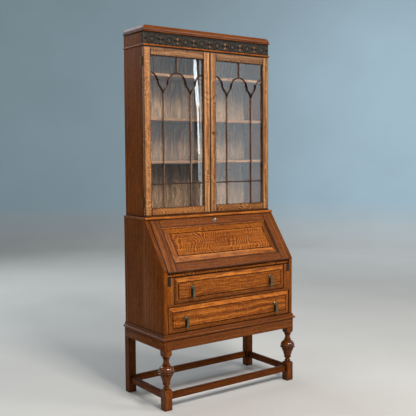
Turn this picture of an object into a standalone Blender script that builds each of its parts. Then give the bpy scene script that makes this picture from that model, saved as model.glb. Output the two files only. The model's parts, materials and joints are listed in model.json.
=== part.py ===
"""Secretary desk: a glazed bookcase standing on a fall-front bureau, on a stand with turned legs.

Metres, +Z up. X runs across the desk, the front faces -Y, and the origin is on the floor under the
middle of the desk's bounding box. A size written as a pair is a (low, high) span on the axis that its
name ends in.
"""

import math

import bmesh
import bpy
from mathutils import Vector

# Clearance between pieces that touch on the real desk, and around pieces that slide.
GAP = 0.0003
SLIDE = 0.0008
EASED = 0.0010
# How far a cutter runs on past what it cuts, and a part laps into the one that it is joined to.
CLEAR = 0.010
LAP = 0.002

# The stand.
STAND_HALF_WIDTH = 0.450
STAND_Y = (-0.201, 0.2215)
LEG = 0.045
APRON_Z = (0.318, 0.371)
APRON_THICKNESS = 0.020
APRON_LAP = 0.0125
STRETCHER_Z = (0.054, 0.090)
STRETCHER_THICKNESS = 0.020
FOOT_BLOCK_TOP = 0.110
TOP_BLOCK_BOTTOM = 0.296
TURNING_LAP = 0.006
POST = 0.024
POST_LAP = 0.010
# The turning between a front leg's two square blocks, from the top: (radius, height).
BALUSTER = [
    (0.0205, 0.292), (0.0195, 0.281), (0.0170, 0.275), (0.0125, 0.262), (0.0155, 0.248),
    (0.0285, 0.240), (0.0390, 0.226), (0.0430, 0.212), (0.0430, 0.201), (0.0350, 0.188),
    (0.0260, 0.173), (0.0210, 0.156), (0.0200, 0.143), (0.0140, 0.132), (0.0175, 0.120),
]

# The bureau's carcass.
WAIST_Z = (0.371, 0.402)
WAIST_PROJECTION = 0.015
REED_STEP = 0.006
LOWER_REED_EASE = 0.006
UPPER_REED_EASE = 0.005
BUREAU_HALF_WIDTH = 0.446
BUREAU_SIDE = 0.022
BUREAU_FRONT = -0.195
CARCASS_BACK = 0.217
BACK_THICKNESS = 0.010
SLOPE_FOOT_Z = 0.741
SLOPE_HEAD_Y = -0.0145
TOP_BOARD_Z = (0.990, 1.005)
TOP_BOARD_FRONT = -0.0175
TOP_BOARD_OVERHANG = 0.001
BED_Z = (0.7035, 0.7195)

# The fall, in its own frame: x across, y up the slope from the hinge line, z outward.
FALL_THICKNESS = 0.019
FALL_STILE = 0.058
FALL_TOP_RAIL = 0.048
FALL_BOTTOM_RAIL = 0.050
FALL_PANEL_Z = (0.003, 0.010)
FALL_PANEL_BEVEL = 0.038
FALL_PANEL_RISE = 0.0065
FALL_EDGE_EASE = 0.0006
KNOB_RADIUS = 0.011
# The knob's turning from its top: (radius, height above the fall).
KNOB = [(0.0, 0.016), (0.006, 0.016), (0.0085, 0.014), (0.0085, 0.010), (0.0045, 0.007),
        (0.0045, 0.003), (KNOB_RADIUS, 0.002), (KNOB_RADIUS, 0.0), (0.0, 0.0)]
FALL_HINGE_X = (0.255, 0.305)
FALL_LEAF_Y = (0.001, 0.024)
FALL_LEAF_THICKNESS = 0.0013
FALL_KNUCKLE = 0.0022
KNUCKLE_ROOM = 0.0026

# The lopers that carry the open fall, and the drawers under them.
LOPER_WIDTH = 0.0200
LOPER_BOTTOM = 0.657
LOPER_LENGTH = 0.365
STILE_WIDTH = 0.038
PARTITION = 0.010
LEDGE = 0.012
STILE_DEPTH = 0.020
LOPER_EASE = 0.0005
DIVIDER_Z = (0.546, 0.557)
DRAWER_FRONT_FACE = -0.192
DRAWER_FRONT_THICKNESS = 0.017
FIELD_RISE = 0.006
DRAWER_BEVEL = 0.022
DRAWER_MARGIN = 0.004
DRAWER_BACK = 0.193
DRAWER_WALL = 0.010
DRAWER_FLOOR = 0.008
DRAWER_BOX_INSET = 0.0005
DRAWER_BOX_DROP = 0.018
HANDLE_Z = {"upper": 0.641, "lower": 0.480}
HANDLE_X = {"upper": 0.271, "lower": 0.311}
HANDLE_LENGTH = 0.062
HANDLE_AXIS_Y = -0.2170
HANDLE_HALF_DEPTH = 0.0027
DROP_HEAD_RADIUS = 0.0060
DROP_FOOT_RADIUS = 0.0080
DROP_ABOVE_PIN = 0.004
DROP_EASE = 0.0014
PLATE_RADIUS = 0.0105
PLATE_THICKNESS = 0.002
TONGUE_HALF_WIDTH = 0.0015
FORK_HALF_WIDTH = 0.0019
PIN_RADIUS = 0.0011
PIN_LENGTH = 0.0060
PIN_BORE = 0.0015

# The pigeonhole rack on the writing bed.
RACK_FRONT = 0.053
RACK_SIDE_GAP = 0.002
RACK_WALL = 0.006
RACK_HEIGHT = 0.225
RACK_SHELF = 0.095

# The bookcase.
CASE_HALF_WIDTH = 0.434
CASE_SIDE = 0.020
CASE_Z = (1.0053, 1.9947)
DOOR_Y = (0.003, 0.023)
DOOR_Z = (1.012, 1.918)
DOOR_STILE = 0.042
DOOR_TOP_RAIL = 0.045
DOOR_BOTTOM_RAIL = 0.042
MEETING_GAP = 0.0008
CASE_BOTTOM_TOP = 1.0213
CASE_TOP_Z = (1.972, 1.990)
SHELF_HEIGHTS = {"upper": 1.775, "middle": 1.536, "lower": 1.302}
SHELF_THICKNESS = 0.016
SHELF_SET_BACK = 0.004
BOTTOM_LINK = 0.005
BEAD_Z = (1.9215, 1.9305)
BEAD_PROJECTION = 0.005
BEAD_EASE = 0.0015
CORNICE_TOP = 2.032
CORNICE_LIP_TOP = 2.003
CORNICE_PROJECTION = 0.0055
CORNICE_WALL = 0.030
CORNICE_LIP_EASE = 0.002
CROWN_EASE = 0.013
CROWN_LAP = 0.003

# The tracery: trefoil-headed lights, three to a door, the outer two cut in half by the stiles.
BAR = 0.009
BAR_Y = (0.006, 0.015)
GLASS_Y = (0.0153, 0.0183)
TRANSOM_HEIGHT = 1.183
LOBE = 0.030
ARCH = 0.060
ARCH_SPRING = 1.7275
DOOR_HINGE_Z = {"upper": (1.815, 1.866), "lower": (1.060, 1.111)}
DOOR_LEAF_THICKNESS = 0.0012
DOOR_LEAF_SET_BACK = 0.004
KNUCKLE = 0.003

# Worked out from the sizes above: the slope's angle, the fall's hinge line and length, the lopers' top.
SLOPE_RUN = SLOPE_HEAD_Y - BUREAU_FRONT
SLOPE_RISE = TOP_BOARD_Z[0] - SLOPE_FOOT_Z
SLOPE_ANGLE = math.atan2(SLOPE_RISE, SLOPE_RUN)
FALL_PIVOT_Y = (BUREAU_FRONT + (BED_Z[1] - SLOPE_FOOT_Z) * SLOPE_RUN / SLOPE_RISE
                + FALL_THICKNESS / math.sin(SLOPE_ANGLE))
NOSING_RADIUS = (TOP_BOARD_Z[1] - TOP_BOARD_Z[0]) / 2
FALL_LENGTH = ((TOP_BOARD_FRONT + NOSING_RADIUS - FALL_PIVOT_Y) * math.cos(SLOPE_ANGLE)
               + (sum(TOP_BOARD_Z) / 2 - BED_Z[1]) * math.sin(SLOPE_ANGLE)
               - NOSING_RADIUS - SLIDE)
LOPER_TOP = BED_Z[1] - FALL_THICKNESS - GAP

OAK = (0.34, 0.135, 0.045)
DARK_OAK = (0.16, 0.060, 0.024)
PALE_OAK = (0.42, 0.230, 0.110)
BRASS = (0.20, 0.160, 0.085)
GLASS = (0.72, 0.780, 0.760)
EBONISED = (0.03, 0.032, 0.028)

EXTRUDE_ALONG = {"X": (math.pi / 2, 0, math.pi / 2), "Y": (math.pi / 2, 0, 0), "Z": (0, 0, 0)}


# Collections, finishes and the few ways that every piece is made.

def clear_scene():
    for obj in list(bpy.data.objects):
        bpy.data.objects.remove(obj, do_unlink=True)


def add_collection(name):
    collection = bpy.data.collections.new(name)
    bpy.context.scene.collection.children.link(collection)
    return collection


def add_finish(obj, colour):
    """One material for each piece: metal where the colour is brass, clear where it is glass."""
    material = bpy.data.materials.new(obj.name + "_finish")
    material.use_nodes = True
    shader = material.node_tree.nodes["Principled BSDF"]
    shader.inputs["Base Color"].default_value = (*colour, 1.0)
    shader.inputs["Roughness"].default_value = 0.35 if colour is BRASS else 0.45
    shader.inputs["Metallic"].default_value = 1.0 if colour is BRASS else 0.0
    if colour is GLASS:
        shader.inputs["Roughness"].default_value = 0.05
        shader.inputs["Transmission Weight"].default_value = 0.9
    material.diffuse_color = (*colour, 1.0)
    obj.data.materials.clear()
    obj.data.materials.append(material)


def add_object(name, mesh, colour, parent=None, helper=False):
    obj = bpy.data.objects.new(name, mesh)
    (helpers if helper else desk).objects.link(obj)
    obj.hide_render = helper
    obj.display_type = "WIRE" if helper else "TEXTURED"
    obj.parent = parent
    if not helper:
        add_finish(obj, colour)
    return obj


def box(name, x, y, z, colour=OAK, bevel=0.0, segments=1, parent=None, helper=False):
    """A block between three (low, high) pairs, placed by its centre."""
    mesh = bpy.data.meshes.new(name)
    shape = bmesh.new()
    bmesh.ops.create_cube(shape, size=1.0)
    size = (x[1] - x[0], y[1] - y[0], z[1] - z[0])
    bmesh.ops.scale(shape, vec=size, verts=shape.verts)
    shape.to_mesh(mesh)
    shape.free()
    obj = add_object(name, mesh, colour, parent, helper)
    obj.location = (sum(x) / 2, sum(y) / 2, sum(z) / 2)
    if bevel:
        ease(obj, bevel, segments)
    return obj


def ease(obj, width, segments=1):
    bevel = obj.modifiers.new("eased_edges", "BEVEL")
    bevel.width = width
    bevel.segments = segments
    bevel.limit_method = "ANGLE"


def outline(name, loops, axis, span, colour=OAK, parent=None, helper=False):
    """A flat outline, with any holes, extruded along an axis and made a mesh with welded caps."""
    curve = bpy.data.curves.new(name, "CURVE")
    curve.dimensions = "2D"
    curve.fill_mode = "BOTH"
    curve.extrude = (span[1] - span[0]) / 2
    for loop in loops:
        spline = curve.splines.new("POLY")
        spline.points.add(len(loop) - 1)
        for point, (a, b) in zip(spline.points, loop):
            point.co = (a, b, 0.0, 1.0)
        spline.use_cyclic_u = True
    drawn = bpy.data.objects.new(name + "_outline", curve)
    bpy.context.scene.collection.objects.link(drawn)
    drawn.rotation_euler = EXTRUDE_ALONG[axis]
    drawn.location["XYZ".index(axis)] = sum(span) / 2
    bpy.context.view_layer.update()
    depsgraph = bpy.context.evaluated_depsgraph_get()
    mesh = bpy.data.meshes.new_from_object(drawn.evaluated_get(depsgraph))
    shape = bmesh.new()
    shape.from_mesh(mesh)
    bmesh.ops.remove_doubles(shape, verts=shape.verts, dist=0.00001)
    bmesh.ops.recalc_face_normals(shape, faces=shape.faces)
    shape.to_mesh(mesh)
    shape.free()
    obj = add_object(name, mesh, colour, parent, helper)
    obj.matrix_world = drawn.matrix_world.copy()
    bpy.data.objects.remove(drawn, do_unlink=True)
    return obj


def turned(name, profile, colour=OAK, steps=24, parent=None, helper=False):
    """A solid of revolution about its own Z axis; the profile runs from its top to its bottom."""
    mesh = bpy.data.meshes.new(name)
    mesh.from_pydata([(r, 0.0, z) for r, z in profile],
                     [(i, i + 1) for i in range(len(profile) - 1)], [])
    obj = add_object(name, mesh, colour, parent, helper)
    screw = obj.modifiers.new("turning", "SCREW")
    screw.steps = steps
    screw.render_steps = steps
    screw.use_merge_vertices = True
    screw.merge_threshold = 0.00005
    return obj


def cylinder(name, radius, length, colour=BRASS, segments=24, parent=None, helper=False):
    """A rod along its own Z axis, centred on its origin."""
    mesh = bpy.data.meshes.new(name)
    shape = bmesh.new()
    bmesh.ops.create_cone(shape, cap_ends=True, segments=segments,
                          radius1=radius, radius2=radius, depth=length)
    shape.to_mesh(mesh)
    shape.free()
    return add_object(name, mesh, colour, parent, helper)


def combine(obj, other, operation):
    boolean = obj.modifiers.new(operation.lower() + "_" + other.name, "BOOLEAN")
    boolean.operation = operation
    boolean.solver = "EXACT"
    boolean.object = other


def cut(obj, other):
    combine(obj, other, "DIFFERENCE")


def unite(obj, other):
    combine(obj, other, "UNION")


def pivot(name, location, rotation=(0.0, 0.0, 0.0), parent=None):
    """An empty on a joint's axis, which the moving pieces hang from."""
    empty = bpy.data.objects.new(name, None)
    desk.objects.link(empty)
    empty.empty_display_size = 0.03
    empty.location = location
    empty.rotation_euler = rotation
    bpy.context.view_layer.update()
    if parent:
        attach(empty, parent)
    return empty


def attach(obj, parent):
    """Hangs a piece that stands in world coordinates from a pivot, without moving it."""
    bpy.context.view_layer.update()
    obj.parent = parent
    obj.matrix_parent_inverse = parent.matrix_world.inverted()


def both(lower_x, upper_x, side):
    """The (low, high) pair of two distances from the middle, on the left (-1) or the right (+1)."""
    return tuple(sorted((side * lower_x, side * upper_x)))


def arc(centre, radius, start, end, steps):
    """Points on an arc, angles in degrees, both ends included."""
    angles = [math.radians(start + (end - start) * i / steps) for i in range(steps + 1)]
    return [(centre[0] + radius * math.cos(a), centre[1] + radius * math.sin(a)) for a in angles]


def fielded(name, x, y, z, up, margin, bevel, rise, colour=OAK, parent=None):
    """A board whose face toward `up` has a flat margin and a mitred bevel up to a raised field."""
    obj = box(name, x, y, z, colour, parent=parent)
    up = Vector(up)
    shape = bmesh.new()
    shape.from_mesh(obj.data)
    field = [face for face in shape.faces if face.normal.dot(up) > 0.9]
    bmesh.ops.inset_region(shape, faces=field, thickness=margin)
    bmesh.ops.inset_region(shape, faces=field, thickness=bevel)
    bmesh.ops.translate(shape, verts=list(field[0].verts), vec=up * rise)
    shape.to_mesh(obj.data)
    shape.free()
    return obj


def mirrored(points, about=0.0):
    """An outline's points mirrored about a vertical line, and reversed to keep their direction."""
    return [(2 * about - a, b) for a, b in reversed(points)]


# The stand.

def build_legs():
    middle_x = STAND_HALF_WIDTH - LEG / 2
    for side, hand in ((-1, "left"), (1, "right")):
        outer = both(STAND_HALF_WIDTH - LEG, STAND_HALF_WIDTH, side)
        post_outer = STAND_HALF_WIDTH - APRON_THICKNESS - GAP
        post_x = both(post_outer - POST, post_outer, side)

        front_y = (STAND_Y[0], STAND_Y[0] + LEG)
        name = "leg_front_" + hand
        leg = box(name, outer, front_y, (0.0, FOOT_BLOCK_TOP), bevel=EASED)
        profile = [(0.0, TOP_BLOCK_BOTTOM + TURNING_LAP), (BALUSTER[0][0], TOP_BLOCK_BOTTOM + TURNING_LAP)]
        profile += BALUSTER
        profile += [(BALUSTER[-1][0], FOOT_BLOCK_TOP - TURNING_LAP), (0.0, FOOT_BLOCK_TOP - TURNING_LAP)]
        baluster = turned(name + "_baluster", profile, helper=True)
        baluster.location = (side * middle_x, sum(front_y) / 2, 0.0)
        block_z = (TOP_BLOCK_BOTTOM, APRON_Z[0] - GAP)
        block = box(name + "_block", outer, front_y, block_z, bevel=EASED, helper=True)
        post_y = (STAND_Y[0] + APRON_THICKNESS + GAP, STAND_Y[0] + APRON_THICKNESS + GAP + POST)
        post_z = (block_z[1] - POST_LAP, WAIST_Z[0] - GAP)
        post = box(name + "_post", post_x, post_y, post_z, helper=True)
        for piece in (baluster, block, post):
            unite(leg, piece)

        back_y = (STAND_Y[1] - LEG, STAND_Y[1])
        name = "leg_back_" + hand
        leg = box(name, outer, back_y, (0.0, APRON_Z[0] - GAP), bevel=EASED)
        post_y = (STAND_Y[1] - APRON_THICKNESS - GAP - POST, STAND_Y[1] - APRON_THICKNESS - GAP)
        unite(leg, box(name + "_post", post_x, post_y, post_z, helper=True))


def build_aprons():
    z = (APRON_Z[0], APRON_Z[1] - GAP)
    inner = STAND_HALF_WIDTH - APRON_LAP - GAP
    front_y = (STAND_Y[0], STAND_Y[0] + APRON_THICKNESS)
    back_y = (STAND_Y[1] - APRON_THICKNESS, STAND_Y[1])
    box("apron_front", (-inner, inner), front_y, z, bevel=EASED)
    box("apron_back", (-inner, inner), back_y, z, bevel=EASED)
    for side, hand in ((-1, "left"), (1, "right")):
        face = side * STAND_HALF_WIDTH
        lap = side * (STAND_HALF_WIDTH - APRON_LAP)
        back = side * (STAND_HALF_WIDTH - APRON_THICKNESS)
        shoulders = (front_y[1] + GAP, back_y[0] - GAP)
        plan = [(face, STAND_Y[0]), (face, STAND_Y[1]), (lap, STAND_Y[1]), (lap, shoulders[1]),
                (back, shoulders[1]), (back, shoulders[0]), (lap, shoulders[0]), (lap, STAND_Y[0])]
        outline("apron_" + hand, [plan], "Z", z)


def build_stretchers():
    half = STRETCHER_THICKNESS / 2
    reach_x = STAND_HALF_WIDTH - LEG - GAP
    for name, middle in (("front", STAND_Y[0] + LEG / 2), ("back", STAND_Y[1] - LEG / 2)):
        y = (middle - half, middle + half)
        box("stretcher_" + name, (-reach_x, reach_x), y, STRETCHER_Z, bevel=EASED)
    y = (STAND_Y[0] + LEG + GAP, STAND_Y[1] - LEG - GAP)
    for side, hand in ((-1, "left"), (1, "right")):
        middle = side * (STAND_HALF_WIDTH - LEG / 2)
        box("stretcher_" + hand, (middle - half, middle + half), y, STRETCHER_Z, bevel=EASED)


# The bureau.

def build_base_board():
    """The bureau's bottom board: its edge is worked with two reeds, the lower one wider."""
    split = sum(WAIST_Z) / 2
    wide = BUREAU_HALF_WIDTH + WAIST_PROJECTION
    front = BUREAU_FRONT - WAIST_PROJECTION
    lower_z = (WAIST_Z[0], split + LAP)
    board = box("base_board", (-wide, wide), (front, CARCASS_BACK), lower_z,
                bevel=LOWER_REED_EASE, segments=3)
    narrow = wide - REED_STEP
    upper = box("base_board_upper_reed", (-narrow, narrow), (front + REED_STEP, CARCASS_BACK - EASED),
                (split - LAP, WAIST_Z[1]), bevel=UPPER_REED_EASE, segments=3, helper=True)
    unite(board, upper)


def build_bureau_carcass():
    bottom = WAIST_Z[1] + GAP
    top = TOP_BOARD_Z[0] - GAP
    inner = BUREAU_HALF_WIDTH - BUREAU_SIDE
    profile = [(BUREAU_FRONT, bottom), (CARCASS_BACK, bottom), (CARCASS_BACK, top),
               (SLOPE_HEAD_Y, top), (BUREAU_FRONT, SLOPE_FOOT_Z)]
    for side, hand in ((-1, "left"), (1, "right")):
        outline("bureau_side_" + hand, [profile], "X", both(inner, BUREAU_HALF_WIDTH, side))
    half = inner - GAP
    back_y = (CARCASS_BACK - BACK_THICKNESS, CARCASS_BACK)
    box("bureau_back", (-half, half), back_y, (bottom, top), PALE_OAK)
    wide = BUREAU_HALF_WIDTH + TOP_BOARD_OVERHANG
    board = box("bureau_top", (-wide, wide), (TOP_BOARD_FRONT, CARCASS_BACK), TOP_BOARD_Z)
    round_front_edges(board, NOSING_RADIUS - GAP / 3)
    bed = box("writing_bed", (-half, half), (FALL_PIVOT_Y + 2 * GAP, back_y[0] - GAP), BED_Z)
    divider_y = (BUREAU_FRONT, back_y[0] - GAP)
    box("drawer_divider", (-half, half), divider_y, DIVIDER_Z, bevel=EASED)
    return bed


def round_front_edges(board, radius):
    """Rounds only the two long edges of a board's front into a nosing, by their bevel weight."""
    mesh = board.data
    weights = mesh.attributes.new("bevel_weight_edge", "FLOAT", "EDGE")
    front = min(vert.co.y for vert in mesh.vertices)
    for edge in mesh.edges:
        a, b = (mesh.vertices[i].co for i in edge.vertices)
        along_front = a.y == front and b.y == front and a.z == b.z
        weights.data[edge.index].value = 1.0 if along_front else 0.0
    ease(board, radius, 4)
    board.modifiers["eased_edges"].limit_method = "WEIGHT"


def build_loper(side, hand):
    """A loper, and the stile, partition and ledge that guide it past the upper drawer."""
    inner = BUREAU_HALF_WIDTH - BUREAU_SIDE - GAP
    stile_inner = inner + GAP - STILE_WIDTH
    bottom = DIVIDER_Z[1] + GAP
    ledge_top = LOPER_BOTTOM - GAP
    back = CARCASS_BACK - BACK_THICKNESS - GAP
    stile_top = LOPER_TOP - GAP
    partition_outer = stile_inner + PARTITION
    # The guide's section: a thin partition with a ledge out to the carcass side.
    section = [(stile_inner, bottom), (partition_outer, bottom), (partition_outer, ledge_top - LEDGE),
               (inner, ledge_top - LEDGE), (inner, ledge_top), (partition_outer, ledge_top),
               (partition_outer, stile_top), (stile_inner, stile_top)]
    name = "loper_guide_" + hand
    guide = outline(name, [[(side * x, z) for x, z in section]], "Y", (BUREAU_FRONT + STILE_DEPTH / 2, back))
    # The stile in front of it is notched for the loper.
    notch = inner - LOPER_WIDTH - 3 * GAP
    stile = [(stile_inner, bottom), (inner, bottom), (inner, ledge_top), (notch, ledge_top),
             (notch, stile_top), (stile_inner, stile_top)]
    face = outline(name + "_stile", [[(side * x, z) for x, z in stile]], "Y",
                   (BUREAU_FRONT, BUREAU_FRONT + STILE_DEPTH), helper=True)
    unite(guide, face)
    loper_x = both(inner - GAP - LOPER_WIDTH, inner - GAP, side)
    loper_y = (BUREAU_FRONT, BUREAU_FRONT + LOPER_LENGTH)
    loper = box("loper_" + hand, loper_x, loper_y, (LOPER_BOTTOM, LOPER_TOP), EBONISED, bevel=LOPER_EASE)
    attach(loper, pivot("loper_slide_" + hand, loper.location))


def build_pigeonholes():
    """One rack of thin boards: five pigeonholes over three wider ones, open in front and behind."""
    half = BUREAU_HALF_WIDTH - BUREAU_SIDE - RACK_SIDE_GAP
    bottom = BED_Z[1] + GAP
    top = bottom + RACK_HEIGHT
    shelf = bottom + RACK_SHELF
    loops = [[(-half, bottom), (half, bottom), (half, top), (-half, top)]]
    for count, low, high in ((5, shelf + RACK_WALL, top - RACK_WALL), (3, bottom + RACK_WALL, shelf)):
        pitch = (2 * half - RACK_WALL) / count
        for i in range(count):
            left = -half + RACK_WALL + i * pitch
            right = left + pitch - RACK_WALL
            loops.append([(left, low), (right, low), (right, high), (left, high)])
    back = CARCASS_BACK - BACK_THICKNESS - GAP
    outline("pigeonhole_rack", loops, "Y", (RACK_FRONT, back), PALE_OAK)


def build_fall(bed):
    """The fall-front: a framed and fielded panel that hinges down to carry on the writing bed."""
    hinge_line = pivot("fall_hinge_line", (0.0, FALL_PIVOT_Y, BED_Z[1]), (SLOPE_ANGLE, 0.0, 0.0))
    half = BUREAU_HALF_WIDTH - BUREAU_SIDE - SLIDE
    frame = box("fall_frame", (-half, half), (0.0, FALL_LENGTH), (0.0, FALL_THICKNESS),
                bevel=FALL_EDGE_EASE, parent=hinge_line)
    opening_x = (-half + FALL_STILE, half - FALL_STILE)
    opening_y = (FALL_BOTTOM_RAIL, FALL_LENGTH - FALL_TOP_RAIL)
    through = box("fall_frame_opening", opening_x, opening_y, (-CLEAR, FALL_THICKNESS + CLEAR),
                  parent=hinge_line, helper=True)
    cut(frame, through)

    # The panel fills the opening, and its field stands up from a wide bevel.
    fielded("fall_panel", (opening_x[0] + GAP, opening_x[1] - GAP),
            (opening_y[0] + GAP, opening_y[1] - GAP), FALL_PANEL_Z, (0, 0, 1),
            GAP, FALL_PANEL_BEVEL, FALL_PANEL_RISE, parent=hinge_line)

    knob = turned("fall_knob", KNOB, BRASS, parent=hinge_line)
    knob.location = (0.0, FALL_LENGTH - FALL_TOP_RAIL / 2, FALL_THICKNESS + GAP)

    for side, hand in ((-1, "left"), (1, "right")):
        x = both(*FALL_HINGE_X, side)
        wide = (x[0] - GAP, x[1] + GAP)
        name = "fall_hinge_" + hand
        leaf_z = (GAP, GAP + FALL_LEAF_THICKNESS)
        hinge = box(name, x, FALL_LEAF_Y, leaf_z, BRASS, parent=hinge_line)
        knuckle = cylinder(name + "_knuckle", FALL_KNUCKLE, x[1] - x[0], parent=hinge_line, helper=True)
        knuckle.location = (sum(x) / 2, 0.0, 0.0)
        knuckle.rotation_euler = (0.0, math.pi / 2, 0.0)
        unite(hinge, knuckle)
        leaf_seat = box(name + "_leaf_seat", wide, (-EASED, FALL_LEAF_Y[1] + GAP), (-EASED, leaf_z[1] + GAP),
                        parent=hinge_line, helper=True)
        knuckle_seat = box(name + "_knuckle_seat", wide, (-2 * EASED, KNUCKLE_ROOM), (-EASED, KNUCKLE_ROOM),
                           parent=hinge_line, helper=True)
        cut(frame, leaf_seat)
        cut(frame, knuckle_seat)
        bed_seat = box(name + "_bed_seat", wide, (FALL_PIVOT_Y - CLEAR, FALL_PIVOT_Y + KNUCKLE_ROOM + GAP),
                       (BED_Z[1] - KNUCKLE_ROOM - GAP, BED_Z[1] + CLEAR), helper=True)
        cut(bed, bed_seat)


def build_drawer(level, half_width, z):
    """A drawer: its fielded front, its box, and two drop handles that swing on their plates."""
    slide = pivot(level + "_drawer_slide", (0.0, DRAWER_FRONT_FACE, sum(z) / 2))
    front_y = (DRAWER_FRONT_FACE, DRAWER_FRONT_FACE + DRAWER_FRONT_THICKNESS)
    front = fielded(level + "_drawer_front", (-half_width, half_width), front_y, z, (0, -1, 0),
                    DRAWER_MARGIN, DRAWER_BEVEL, FIELD_RISE)
    attach(front, slide)

    tray_half = half_width - DRAWER_BOX_INSET
    tray_y = (front_y[1] + GAP, DRAWER_BACK)
    tray_z = (z[0], z[1] - DRAWER_BOX_DROP)
    tray = box(level + "_drawer_box", (-tray_half, tray_half), tray_y, tray_z, PALE_OAK)
    inside = box(level + "_drawer_inside",
                 (-tray_half + DRAWER_WALL, tray_half - DRAWER_WALL),
                 (tray_y[0] + DRAWER_WALL, tray_y[1] - DRAWER_WALL),
                 (tray_z[0] + DRAWER_FLOOR, tray_z[1] + CLEAR), helper=True)
    cut(tray, inside)
    attach(inside, slide)
    attach(tray, slide)
    for side, hand in ((-1, "left"), (1, "right")):
        build_handle(level, hand, side * HANDLE_X[level], HANDLE_Z[level], slide)


def build_handle(level, hand, x, z, slide):
    field = DRAWER_FRONT_FACE - FIELD_RISE - GAP
    name = "handle_plate_{}_{}".format(level, hand)
    plate = cylinder(name, PLATE_RADIUS, PLATE_THICKNESS)
    plate.rotation_euler = (math.pi / 2, 0.0, 0.0)
    plate.location = (x, field - PLATE_THICKNESS / 2, z)
    tongue = box(name + "_tongue", (x - TONGUE_HALF_WIDTH, x + TONGUE_HALF_WIDTH),
                 (HANDLE_AXIS_Y - HANDLE_HALF_DEPTH, field - PLATE_THICKNESS / 2),
                 (z - HANDLE_HALF_DEPTH, z + HANDLE_HALF_DEPTH), helper=True)
    bore = cylinder(name + "_bore", PIN_BORE, 2 * PIN_LENGTH, segments=12, helper=True)
    bore.rotation_euler = (0.0, math.pi / 2, 0.0)
    bore.location = (x, HANDLE_AXIS_Y, z)
    unite(plate, tongue)
    cut(plate, bore)
    for piece in (plate, tongue, bore):
        attach(piece, slide)

    # The drop: a long pear-shaped pendant, forked over the plate's tongue and pinned through it.
    axis = pivot("handle_axis_{}_{}".format(level, hand), (x, HANDLE_AXIS_Y, z), parent=slide)
    name = "handle_drop_{}_{}".format(level, hand)
    top = z + DROP_ABOVE_PIN
    bottom = top - HANDLE_LENGTH
    shape = arc((x, top - DROP_HEAD_RADIUS), DROP_HEAD_RADIUS, 0, 180, 6)
    shape += arc((x, bottom + DROP_FOOT_RADIUS), DROP_FOOT_RADIUS, 190, 350, 8)
    y = (HANDLE_AXIS_Y - HANDLE_HALF_DEPTH, HANDLE_AXIS_Y + HANDLE_HALF_DEPTH)
    drop = outline(name, [shape], "Y", y, BRASS)
    ease(drop, DROP_EASE, 2)
    slot = box(name + "_slot", (x - FORK_HALF_WIDTH, x + FORK_HALF_WIDTH), (y[0] - CLEAR, y[1] + CLEAR),
               (z - DROP_HEAD_RADIUS, z + CLEAR), helper=True)
    pin = cylinder(name + "_pin", PIN_RADIUS, PIN_LENGTH, segments=12, helper=True)
    pin.rotation_euler = (0.0, math.pi / 2, 0.0)
    pin.location = (x, HANDLE_AXIS_Y, z)
    cut(drop, slot)
    unite(drop, pin)
    for piece in (drop, slot, pin):
        attach(piece, axis)


# The bookcase.

def build_case():
    inner = CASE_HALF_WIDTH - CASE_SIDE
    half = inner - GAP
    front = DOOR_Y[1] + GAP
    back = CARCASS_BACK - BACK_THICKNESS - GAP
    for side, hand in ((-1, "left"), (1, "right")):
        box("bookcase_side_" + hand, both(inner, CASE_HALF_WIDTH, side), (front, CARCASS_BACK),
            CASE_Z, bevel=EASED)
    strip_top = DOOR_Z[0] - GAP
    profile = [(front, CASE_Z[0]), (back, CASE_Z[0]), (back, CASE_BOTTOM_TOP), (front, CASE_BOTTOM_TOP)]
    bottom = outline("bookcase_bottom", [profile], "X", (-half, half))
    strip = box("bookcase_bottom_strip", (-CASE_HALF_WIDTH, CASE_HALF_WIDTH), (DOOR_Y[0], front - GAP),
                (CASE_Z[0], strip_top), helper=True)
    link = box("bookcase_bottom_link", (-half, half), (DOOR_Y[0] + BOTTOM_LINK, front + BOTTOM_LINK),
               (CASE_Z[0] + EASED, strip_top - EASED), helper=True)
    unite(bottom, strip)
    unite(bottom, link)
    box("bookcase_top", (-half, half), (front, back), CASE_TOP_Z, bevel=EASED)
    back_y = (CARCASS_BACK - BACK_THICKNESS, CARCASS_BACK)
    box("bookcase_back", (-half, half), back_y, CASE_Z, PALE_OAK)
    for level, height in SHELF_HEIGHTS.items():
        z = (height - SHELF_THICKNESS / 2, height + SHELF_THICKNESS / 2)
        box("shelf_" + level, (-half, half), (front + SHELF_SET_BACK, back), z, bevel=EASED)


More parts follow.
